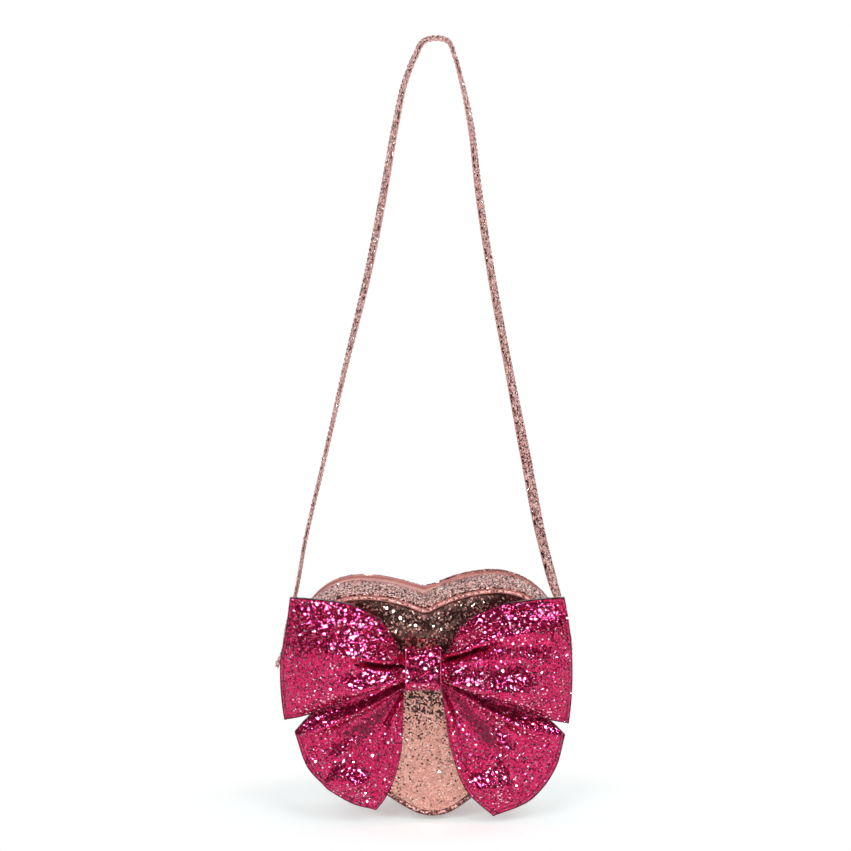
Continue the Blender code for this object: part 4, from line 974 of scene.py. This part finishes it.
def make_zip():
    """Glitter strips and smooth tapes on both sides of the zip, the tapes a little raised towards its
    middle, with two rows of stitches along each strip."""
    course = shortened(zip_course(FINE_STEP), SEAM_GAP / LOBE_RADIUS)
    for name, edges, count, seed in (
            ("zip_strip_front", (GUSSET_EDGES[0], ZIP_Y - ZIP_SHOW), 16, 22),
            ("zip_strip_back", (ZIP_Y + ZIP_SHOW, GUSSET_EDGES[1]), 5, 22),
            ("zip_tape_front", (ZIP_Y - ZIP_SHOW - TAPE_TUCK, ZIP_Y - COIL_SLOT / 2), 9, None),
            ("zip_tape_back", (ZIP_Y + COIL_SLOT / 2, ZIP_Y + ZIP_SHOW + TAPE_TUCK), 9, None)):
        depths = np.linspace(*edges, count)
        dents = crest(course, depths)
        looks = (0.0, CLOTH, dents, ROSE_GLITTER, "gusset")
        if not seed:
            raised = TAPE_RISE * ease(ZIP_SHOW - np.abs(depths - ZIP_Y), 0.0, TAPE_SLOPE)
            looks = (CLOTH + SEAM_GAP, TAPE_CLOTH, dents + raised, TAPE, "smooth_pink")
        _, places = swept_layer(f"{name}_cloth", course, edges, *looks, name)
        if seed:
            strew_on_skin(f"{name}_flakes", course, places, count + 2, seed)
    for side, half in ((-1, "front"), (1, "back")):
        for inward, row in ZIP_STITCH_ROWS:
            line, outward = surface_line(course, ZIP_Y + side * (ZIP_SHOW + inward))
            stitches(f"zip_stitches_{row}_{half}", line, outward, ZIP_STITCH, ROSE_THREAD, "bag")


def make_coils():
    """Each half of the zip is a wire wound in an oval spiral on its tape, a turn at every tooth."""
    points, normals = shortened(zip_course(COIL_TURN / 10), tab_angle())
    turn = run_lengths(points) * 2 * math.pi / COIL_TURN
    across = COIL_WIDTH / 2 - COIL_WIRE
    lift = (float(bulge(ZIP_Y)) - CLOTH + COIL_WIRE + COIL_HALF_HEIGHT * (1 + np.sin(turn))
            + crest((points, normals), [ZIP_Y])[:, 0])
    for name, side in (("front", -1), ("back", 1)):
        depth = ZIP_Y + side * (COIL_SLOT / 2 + COIL_WIDTH / 2) + across * np.cos(turn) * side
        line = at_depth(points + normals * lift[:, None], depth)
        ahead = unit(np.gradient(line, axis=0))
        aside = unit(np.cross(ahead, at_depth(normals, 0.0)))
        places = tube(line, aside, np.cross(aside, ahead), COIL_WIRE)
        bag_piece(f"zip_coil_{name}_wire", places, capped(*places.shape[:2]), COIL, "coil",
                  [f"zip_coil_{name}"])


def make_tabs():
    """Cloth tabs over the ends of the zip, each round the foot of its lobe."""
    gap, half = SEAM_GAP / LOBE_RADIUS, ZIP_SHOW - SEAM_GAP
    edges = (ZIP_Y - half, ZIP_Y + half)
    angles = SEAM_ANGLE + np.linspace(gap, tab_angle() - gap, TAB_STATIONS[0])
    for name, side in (("right", 1), ("left", -1)):
        swept_layer(f"zip_end_tab_{name}_cloth", on_lobe(side, angles, LOBE_RADIUS), edges, 0.0, CLOTH,
                    np.zeros(TAB_STATIONS), ROSE_GLITTER, "gusset", f"zip_end_tab_{name}")


# Strap

def anchor_in_bag(side):
    """Where a leg of the strap meets the gusset, in the bag's plane."""
    return on_lobe(side, ANCHOR_ANGLE, ANCHOR_RADIUS)[0]


def hugging_points(side):
    """The last stretch of a leg above its anchor, which follows the lobe's curve."""
    rise = HUG_SHARES * ANCHOR_HUG
    lean = ANCHOR_ANGLE + rise * math.sqrt(0.5) / ANCHOR_RADIUS
    across = ANCHOR_RADIUS * np.cos(lean) - ANCHOR_RADIUS * math.cos(ANCHOR_ANGLE)
    return list(rolled(anchor_in_bag(side) + np.column_stack([side * across, rise])))


def strap_course():
    """Middle line of the strap from its left sewn end over the top to its right one, with its twist:
    a smooth curve through the stations of both legs, then a stretch below each anchor, which is
    straight on the left and follows the lobe's curve on the right."""
    legs = {}
    middle = STRAP_PLY + SEAM_GAP / 2
    for side, (across, down, twist, hug_twist) in STRAP_LEGS.items():
        anchor = rolled(anchor_in_bag(side))
        route = [np.array([anchor[0] * a, middle + (anchor[1] - middle) * d]) for a, d in zip(across, down)]
        route = [point for point in route if point[1] > anchor[1] + ANCHOR_HUG + STRAP_WIDTH / 2]
        legs[side] = (route + hugging_points(side) + [anchor], [*twist[:len(route)], *hug_twist])
    points = np.array(legs[-1][0][::-1] + [np.array([0, middle])] + legs[1][0])
    twists = np.array(legs[-1][1][::-1] + [TOP_TWIST] + legs[1][1], float)
    knots = run_lengths(points)
    where = np.linspace(0, knots[-1], int(knots[-1] / STRAP_STEP))
    line, twist = smooth_curve(knots, points, where), smooth_curve(knots, twists, where)
    spare = np.linspace(STRAP_END_LENGTH, 0, STRAP_END_STEPS, endpoint=False)
    lean = ANCHOR_ANGLE - BAG_ROLL
    flare = LEFT_END_FLARE * (spare / STRAP_END_LENGTH)**2
    left = LEFT_END_SHARE * spare
    left_end = line[0] - np.column_stack([left * math.sin(lean) + flare, left * math.cos(lean)])
    right_end = rolled(on_lobe(1, ANCHOR_ANGLE - spare[::-1] / ANCHOR_RADIUS, ANCHOR_RADIUS)[0])
    line = np.concatenate([left_end, line, right_end])
    return line, np.radians(np.pad(twist, STRAP_END_STEPS))


def make_strap():
    """Two plies with rounded long edges, carried along the course and turned by its twist, and a row of
    stitches along both edges of each ply."""
    line, twist = strap_course()
    ahead = unit(np.gradient(line, run_lengths(line), axis=0))
    outward = at_depth(np.column_stack([-ahead[:, 1], ahead[:, 0]]), 0.0)
    depth = np.array([0.0, 1.0, 0.0])
    turn = twist[:, None]
    face = np.cos(turn) * outward - np.sin(turn) * depth
    width = np.cos(turn) * depth + np.sin(turn) * outward
    middle = at_depth(line, 0.0)
    across = np.linspace(-1, 1, 15)
    near = SEAM_GAP / 8
    plies = (("face", 1, ROSE_GLITTER, "gusset"), ("backing", -1, STRAP_PINK, "smooth_pink"))
    for ply, side, material, slot in plies:
        far = near + STRAP_PLY * (1 - 0.45 * np.abs(across)**10)
        sideways = np.append(across, across[::-1])[:, None]
        offset = side * np.append(np.full(15, near), far[::-1])[:, None]
        places = middle[:, None] + width[:, None] * sideways * STRAP_WIDTH / 2 + face[:, None] * offset
        nodes = [f"strap_{ply}", f"strap_end_{ply}_left", f"strap_end_{ply}_right"]
        finish_piece(f"strap_{ply}_ply", places, capped(*places.shape[:2]), material, STRAP_BODY, nodes)
        if ply == "face":
            scatter_flakes("strap_flakes", places[:, 17:28], face[:, None], ROSE_COVER, 0.18, 31, ROSE_FLAKES,
                           STRAP_BODY)
    for edge, name in ((-1, "front"), (1, "back")):
        for ply, side, _, _ in plies:
            spots = middle + width * edge * (STRAP_WIDTH / 2 - STRAP_STITCH_INSET)
            spots = spots + face * side * (STRAP_PLY + near)
            stitches(f"strap_stitches_{ply}_{name}", spots, face * side, STRAP_STITCH, ROSE_THREAD,
                     STRAP_BODY)


# Bow

def to_fold(x, z, fold):
    """Height of one fold at places in the bow's plane: a bell across its line that fades at its end."""
    line, half, height = fold
    line = np.array(line, float) / 1000
    run = run_lengths(line)
    best = np.full(x.shape, np.inf)
    share = np.zeros(x.shape)
    for index, (a, b) in enumerate(zip(line, line[1:])):
        step = b - a
        t = np.clip(((x - a[0]) * step[0] + (z - a[1]) * step[1]) / (step @ step), 0, 1)
        far = np.hypot(x - a[0] - t * step[0], z - a[1] - t * step[1])
        nearer = far < best
        best = np.where(nearer, far, best)
        share = np.where(nearer, (run[index] + t * (run[index + 1] - run[index])) / run[-1], share)
    width = half / 1000 * (FOLD_START_WIDTH + FOLD_WIDENING * share)
    return height / 1000 * np.exp(-(best / width)**2) * (1 - ease(share, *FOLD_FADE) * FOLD_LOSS)


def crease_shade(places, folds):
    """0 to 1: how deep places in the bow's plane lie in its sunken folds: their share of painted shade."""
    painted_shading = sum(to_fold(places[..., 0], places[..., 2], fold) for fold in folds if fold[2] < 0)
    return np.clip(painted_shading / -FULL_SHADE_FOLD, 0, 1)


def loop_form(side, span, fall, rise, curve, hollow, folds):
    """Function of reach and cross shares: place in the bow's plane, middle and swells of a puffed
    loop. The swell is a lens across the loop, and the folds are added to its front."""
    def form(reach, cross):
        sunk_edge = hollow * np.sin(math.pi * np.clip(cross, 0, 1))
        edge = span * (1 - curve * (cross + WIDEST_BELOW)**2 - sunk_edge)
        across = side * (NECK_SIDE + (edge - NECK_SIDE) * reach)
        top = rise * smooth_curve(*zip(*RISE_SHARES), reach)
        bottom = -fall * smooth_curve(*zip(*FALL_SHARES), reach)
        swell = smooth_curve(*zip(*PUFF_SHARES), reach)
        height = bottom + (top - bottom) * (cross + 1) / 2
        middle = LOOP_Y - NECK_LIFT * (1 - reach)**3
        lens = (1 - np.abs(cross)**LENS_POWERS[0])**LENS_POWERS[1]
        rounding = 1 - np.abs(cross)**np.where(cross > 0, UPPER_POWER, LOWER_POWER)
        relief = sum(to_fold(across, height, fold) for fold in folds)
        relief = relief + LOOP_WAVE[0] * ripple(across, height, LOOP_WAVE[1], 5 + side)
        relief = relief + LOOP_FINE_WAVE[0] * ripple(across, height, LOOP_FINE_WAVE[1], 9)
        free = ease(reach, 0.0, 0.12) * np.clip(lens * 1.6, 0, 1) * (1 - ease(reach, 0.9, 1.0))
        front = np.maximum(LOOP_PUFF * swell * rounding**FRONT_POWER + relief * free, BOW_CLOTH)
        back_puff = LOOP_BACK_PUFF + (NECK_BACK - LOOP_BACK_PUFF) * (1 - reach)**3
        back = np.maximum(back_puff * np.minimum(1, 2 * swell) * lens, BOW_CLOTH)
        return across, height, middle, front, back

    return form


def pouch(form, reaches, crosses, wall=0.0):
    """Rings round a puffed form, from its neck to its outer edge: the front across, then the back."""
    reach, cross = np.meshgrid(reaches, crosses, indexing="ij")
    across, height, middle, front, back = form(reach, cross)
    front, back = np.maximum(front - wall, front * 0.3), np.maximum(back - wall, back * 0.3)
    ahead = np.stack([across, middle - front, height], axis=-1)
    behind = np.stack([across, middle + back, height], axis=-1)
    return np.concatenate([ahead, behind[:, ::-1]], axis=1)


def bow_edges(reaches, crosses, size):
    """Distance of each point of a loop or tail from its cut edge, for the edge's dark line."""
    reach, cross = np.meshgrid(reaches, crosses, indexing="ij")
    inward = np.minimum((1 - np.abs(cross)) * size[1] / 2, (1 - reach) * size[0])
    return np.concatenate([inward, inward[:, ::-1]], axis=1)


def pocket_faces(rows, columns, closed_rows, start=0):
    """Faces of rings whose second half runs back behind their first, closed flat at some rows."""
    faces = quads(rows, columns, wrap_columns=True, start=start)
    for row in closed_rows:
        first = start + row * columns
        last = first + columns - 1
        faces += [(first + j, first + j + 1, last - j - 1, last - j) for j in range(columns // 2 - 1)]
    return faces


def bow_shares(steps, edge_steps, reach_power, cross_steps, cross_power):
    """Shares along a loop or tail and from -1 to 1 across it, both closer together at its edges."""
    closer = 1 - (1 - np.linspace(0, 1, edge_steps))**reach_power
    line = np.linspace(-1, 1, cross_steps)
    return (np.concatenate([np.linspace(0, 0.9, steps), 0.9 + 0.1 * closer[1:]]),
            np.sign(line) * (1 - (1 - np.abs(line))**cross_power))


def neck_rim(columns, inner_columns, size):
    """Faces between the outer neck ring and the inner one, which has fewer points."""
    outer = np.round(np.linspace(0, columns / 2 - 1, inner_columns // 2)).astype(int)
    outer = np.concatenate([outer, columns - 1 - outer[::-1]])
    faces = []
    for i in range(inner_columns):
        a, b = int(outer[i]), int(outer[(i + 1) % inner_columns])
        span = list(range(a, b + 1)) if b > a else [a, b]
        faces.append(span + [size + (i + 1) % inner_columns, size + i])
    return faces


def strew_on_bow(name, places, crease, seed):
    """Flakes on the front of a piece of the bow, fewer where it has painted shade."""
    scatter_flakes(name, bow_in_world(places), (0, -1, 0), PLAIN_COVER, 0.1, seed, BOW_FLAKES, "bag",
                   bare=crease)


def make_loops():
    """Each loop is a cover with an inner wall, open at its neck, with flakes on its front and foam in it."""
    reaches, crosses = bow_shares(92, 15, 1.8, 111, 1.5)
    for name, (side, span, fall, rise, curve, hollow, folds) in LOOPS.items():
        form = loop_form(side, span, fall, rise, curve, hollow, folds)
        outer = pouch(form, reaches, crosses)
        inner = pouch(form, reaches[:-8:2], crosses[4:-4:2] * 0.985, BOW_CLOTH)
        (rows, columns), (inner_rows, inner_columns) = outer.shape[:2], inner.shape[:2]
        size, inner_size = rows * columns, inner_rows * inner_columns
        faces = (pocket_faces(rows, columns, (rows - 1,))
                 + pocket_faces(inner_rows, inner_columns, (inner_rows - 1,), size)
                 + neck_rim(columns, inner_columns, size))
        edge = np.append(bow_edges(reaches, crosses, (span, LOOP_RISE + fall)), np.ones(inner_size))
        # Painted shade in the loop's sunken folds, which also keeps flakes off them
        crease = crease_shade(outer, folds)
        every = np.concatenate([outer.reshape(-1, 3), inner.reshape(-1, 3)])
        cover = bow_piece(f"bow_loop_{name}_cover", every, faces, BOW_GLITTER, [f"bow_loop_{name}"],
                          {"edge": edge, "crease": np.append(crease, np.zeros(inner_size))})
        strewn = (slice(6, -12), slice(8, len(crosses) - 8))
        strew_on_bow(f"bow_loop_{name}_flakes", outer[strewn], crease[strewn], 41 + side)
        make_loop_foam(name, form)


def make_loop_foam(name, form):
    """Foam wad behind a loop's front: its outer face follows the cover, its inner one lies below."""
    reach, cross = np.meshgrid(np.linspace(FOAM_START, FOAM_END, 44),
                               np.linspace(-FOAM_ACROSS, FOAM_ACROSS, 34), indexing="ij")
    across, height, middle, front, _ = form(reach, cross)
    swell = front - BOW_CLOTH - SEAM_GAP
    inward = np.minimum(reach - FOAM_START, FOAM_END - reach) / 0.3
    rim = ease(np.minimum(1 - np.abs(cross) / FOAM_ACROSS, inward), 0.0, 0.2)
    thick = swell * FOAM_SHARE * (FOAM_RIM + (1 - FOAM_RIM) * rim)
    ahead = np.stack([across, middle - swell + swell * FOAM_SHARE / 2 * (1 - rim), height], axis=-1)
    behind = ahead + thick[..., None] * np.array([0, 1, 0])
    ring = np.concatenate([ahead, behind[:, ::-1]], axis=1)
    rows, columns = ring.shape[:2]
    wad = bow_piece(f"bow_padding_{name}_foam", ring, pocket_faces(rows, columns, (0, rows - 1)), FOAM,
                    [f"bow_padding_{name}"])


def tail_form(side, sizes, folds):
    """Function of reach and cross shares for a tail, which fans out from the knot. Its folds stand
    out to the front where no loop lies over it."""
    reach_length, drop, inner_shares, far_shares = sizes
    size = np.array([reach_length, -drop])
    neck = np.array([NECK_SIDE, -TAIL_NECK])
    inner = np.concatenate([[neck], np.array(inner_shares) * size])
    far = np.array(far_shares) * size
    far_knots = np.linspace(-1, 1, len(far))

    def form(reach, cross):
        share, out = (cross[..., None] + 1) / 2, reach[..., None]
        inner_edge = smooth_curve(TAIL_INNER_REACH, inner, reach)
        upper_edge = (neck * (1, 0)) * (1 - out) + far[-1] * out
        upper_edge = upper_edge + np.array([0, TAIL_ARCH]) * out**2 * (1 - out)
        bow = smooth_curve(far_knots, far, cross) - far[0] * (1 - share) - far[-1] * share
        place = inner_edge * (1 - share) + upper_edge * share + bow * out**1.5
        x, z = side * place[..., 0], place[..., 1]
        open_share = ease(-z - np.interp(np.abs(x), LOOP_HEM_SIDES, LOOP_HEM_DEPTHS), 0.0, HEM_WIDTH)
        relief = sum(to_fold(x, z, fold) for fold in folds)
        relief = relief + TAIL_WAVE[0] * ripple(x, z, TAIL_WAVE[1], 30 + side)
        lift = np.maximum(relief * open_share, -TAIL_SINK) + TAIL_LIFT * open_share
        waves = TAIL_FOLD * np.sin(2 * math.pi * cross) * np.clip(reach / 0.3, 0, 1) * (1 - open_share)
        half = np.full_like(x, BOW_CLOTH * 0.95)
        return x, z, TAIL_Y + waves - lift, half, half

    return form


def cut_size(front):
    """Size a tail was cut to: its longest line outwards, its longest one across, and its area."""
    outwards = np.linalg.norm(np.diff(front, axis=0), axis=2).sum(0).max()
    across = np.linalg.norm(np.diff(front, axis=1), axis=2).sum(1).max()
    one, two = front[1:, :-1] - front[:-1, :-1], front[:-1, 1:] - front[:-1, :-1]
    return (float(across), float(outwards)), float(np.linalg.norm(np.cross(one, two), axis=2).sum())


def make_tails():
    """Each tail is a flat pocket of cloth with closed edges, and flakes on its front."""
    reaches, crosses = bow_shares(66, 10, 1.6, 91, 1.3)
    for name, side, sizes, folds in (("left", -1, TAIL_LEFT, TAIL_LEFT_FOLDS),
                                     ("right", 1, TAIL_RIGHT, TAIL_RIGHT_FOLDS)):
        ring = pouch(tail_form(side, sizes, folds), reaches, crosses)
        rows, columns = ring.shape[:2]
        edge = bow_edges(reaches, crosses, (sizes[0] * 1.2, sizes[1] * 0.8))
        # Painted shade in the tail's sunken folds, which also keeps flakes off them
        crease = crease_shade(ring, folds)
        faces = pocket_faces(rows, columns, (0, rows - 1))
        tail = bow_piece(f"bow_tail_{name}_cloth", ring, faces, BOW_GLITTER, [f"bow_tail_{name}"],
                         {"edge": edge, "crease": crease}, sharp=60)
        flat, area = cut_size(bow_in_world(ring[:, :len(crosses)]))
        strewn = (slice(8, -7), slice(7, len(crosses) - 7))
        strew_on_bow(f"bow_tail_{name}_flakes", ring[strewn], crease[strewn], 45 + side)


def rounded_rectangle(width, height, radius, corner_steps):
    """Points once round a rectangle with round corners."""
    outline = []
    for quarter, (x, y) in enumerate(((1, 1), (-1, 1), (-1, -1), (1, -1))):
        centre = np.array([x * (width / 2 - radius), y * (height / 2 - radius)])
        angles = np.linspace(0, math.pi / 2, corner_steps) + quarter * math.pi / 2
        outline.append(centre + radius * np.column_stack([np.cos(angles), np.sin(angles)]))
    return np.concatenate(outline)


def make_knot():
    """The band round the bow's middle: a rounded tube with a hem at each side and gathers between. Above
    its lowest quarter its glitter carries painted shade, for its upward-facing top, and fewer flakes."""
    half_depth = KNOT_DEPTH / 2
    centre = np.array([FRONT_Y - PANEL_CROWN - SEAM_GAP - half_depth, KNOT_RAISE])
    outline = rounded_rectangle(KNOT_DEPTH, KNOT_HEIGHT + KNOT_EASE, KNOT_CORNER, 9)
    closed = np.concatenate([outline, outline[:1]])
    run = run_lengths(closed)
    where = np.linspace(0, run[-1], 120, endpoint=False)
    across = np.linspace(-1, 1, 61)
    hem = np.exp(-((np.abs(across) - HEM_PLACE) / HEM_SPREAD)**2) * HEM_RISE
    waist = -WAIST * (1 - across**2) - EDGE_FALL * ease(np.abs(across), 0.95, 1.0)
    gathers = GATHER * np.sin(where[None] * 2 * math.pi / run[-1] * GATHERS) * (np.abs(across[:, None]) < 0.9)
    grow = 1 + (hem + waist)[:, None] / half_depth + gathers / half_depth * 0.5
    front = at_runs(where, run, closed)[None] * grow[..., None]
    front[..., 0] = np.maximum(front[..., 0], -half_depth)
    rise = front[..., 1] + KNOT_HEIGHT * KNOT_BREAK
    back_off = KNOT_LEAN * np.maximum(rise, 0) + KNOT_LOWER_LEAN * np.maximum(-rise, 0) - KNOT_SETBACK
    front[..., 0] += back_off * ease(-front[..., 0], 0.0, half_depth)
    x = np.broadcast_to((across * (KNOT_WIDTH / 2))[:, None, None], (*front.shape[:2], 1))
    outer, inner = (np.concatenate([x, front * (1 - shrink / half_depth) + centre], axis=-1)
                    for shrink in (0.0, BOW_CLOTH))
    places = np.concatenate([outer, inner[::-1]])
    # Painted shade on the knot's upper part, which faces up; fewer flakes lie there too
    top_shade = KNOT_TOP_SHADE * ease(places[..., 2], *TOP_SHADE_HEIGHTS)
    bow_piece("bow_knot_band", places, quads(*places.shape[:2], True, True), BOW_GLITTER, ["bow_knot"],
              {"edge": np.ones(places.shape[:2]), "crease": top_shade})
    strewn = (slice(2, len(across) - 2), slice(20, 100))
    strew_on_bow("bow_knot_flakes", places[strewn], TOP_SHADE_BARE * top_shade[strewn], 51)
    for row, name in ((2, "left"), (-3, "right")):
        line = outer[row, 33:88]
        out = line - outer[row].mean(0)
        out[:, 0] = 0
        cord = tube(line, np.broadcast_to((1.0, 0.0, 0.0), out.shape), unit(out), KNOT_CORD)
        bow_piece(f"bow_knot_edge_{name}", cord, capped(*cord.shape[:2]), BOW_THREAD, ())


def finish_hardware():
    """The slider, its crown and its pull keep their CAD shapes."""
    for name in ("zip_slider", "zip_slider_crown", "zip_pull"):
        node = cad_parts[name]
        node.data.materials.clear()
        node.data.materials.append(METAL)


# Studio

def make_floor():
    """Pale floor that glows where it is seen or mirrored, and fades to white away from the bag."""
    side, level = FLOOR_SIDE, FLOOR_LEVEL
    mesh = bpy.data.meshes.new("floor")
    mesh.from_pydata([(-side, -side, level), (side, -side, level), (side, side, level), (-side, side, level)],
                     [], [(0, 1, 2, 3)])
    floor = bpy.data.objects.new("floor", mesh)
    bpy.context.scene.collection.objects.link(floor)
    material, place, shader = new_finish("pale_floor")
    material.node_tree.nodes.remove(shader)
    paths = [place.node("ShaderNodeLightPath", {}, {}, way) for way in ("Is Camera Ray", "Is Glossy Ray")]
    glow = paths[0].maths("MAXIMUM", paths[1]) * FLOOR_GLOW
    cloth = place.node("ShaderNodeBsdfDiffuse", {}, {"Color": FLOOR_TINT})
    lit = place.node("ShaderNodeEmission", {}, {"Color": WHITE, "Strength": glow})
    near = place.node("ShaderNodeAddShader", {}, {0: cloth, 1: lit})
    far = place.node("ShaderNodeEmission", {}, {"Color": WHITE, "Strength": 1.0})
    away = place.vector("SUBTRACT", FLOOR_MIDDLE).vector("MULTIPLY", FLOOR_STRETCH)
    away = away.vector("LENGTH", result=1)
    both = place.node("ShaderNodeMixShader", {}, {0: away.between(*FLOOR_FADE), 1: near, 2: far})
    material.node_tree.links.new(both.output, material.node_tree.nodes["Material Output"].inputs["Surface"])
    mesh.materials.append(material)


def make_world():
    """A white surround that is darker behind the camera, except to the camera itself."""
    world = bpy.data.worlds.new("studio")
    bpy.context.scene.world = world
    world.use_nodes = True
    way = Value(world.node_tree).node("ShaderNodeTexCoord", {}, {}, 0)
    camera, through = (way.node("ShaderNodeLightPath", {}, {}, kind)
                       for kind in ("Is Camera Ray", "Is Transmission Ray"))
    room = ROOM_DARK + way.axis(1).between(*ROOM_DEPTHS) * (1 - ROOM_DARK)
    strength = room.maths("MAXIMUM", camera.maths("MAXIMUM", through))
    tint = strength.between(0.1, 0.6).blended(REFLECTED_TINT, WHITE)
    feed(world.node_tree.nodes["Background"], Color=tint, Strength=strength)


def make_lamps():
    """Soft lamps that light the cloth, and small ones that only show as glints in the flakes."""
    for name, place, size, power in SOFT_LAMPS + GLINT_LAMPS:
        lamp = bpy.data.lights.new(name, "AREA")
        lamp.shape, lamp.size, lamp.energy = "SQUARE", size, power
        holder = bpy.data.objects.new(name, lamp)
        holder.location = place
        holder.visible_glossy = name.startswith("glint")
        holder.visible_diffuse = not holder.visible_glossy
        holder.rotation_euler = facing(place, LAMP_TARGET)
        bpy.context.scene.collection.objects.link(holder)


def facing(place, target):
    """Turn of a lamp or camera at a place that looks at a target."""
    return (Vector(target) - Vector(place)).to_track_quat("-Z", "Y").to_euler()


def make_camera():
    view = bpy.data.cameras.new("camera")
    view.lens, view.sensor_width = FOCAL_LENGTH, SENSOR
    camera = bpy.data.objects.new("camera", view)
    camera.location = EYE
    camera.rotation_euler = facing(EYE, TARGET)
    bpy.context.scene.collection.objects.link(camera)
    bpy.context.scene.camera = camera
    bpy.context.scene.view_settings.view_transform = "Standard"


for make in (make_panels, make_piping, make_gusset, make_zip, make_coils, make_tabs, make_strap, make_loops,
             make_tails, make_knot, finish_hardware, make_floor, make_world, make_lamps, make_camera):
    make()
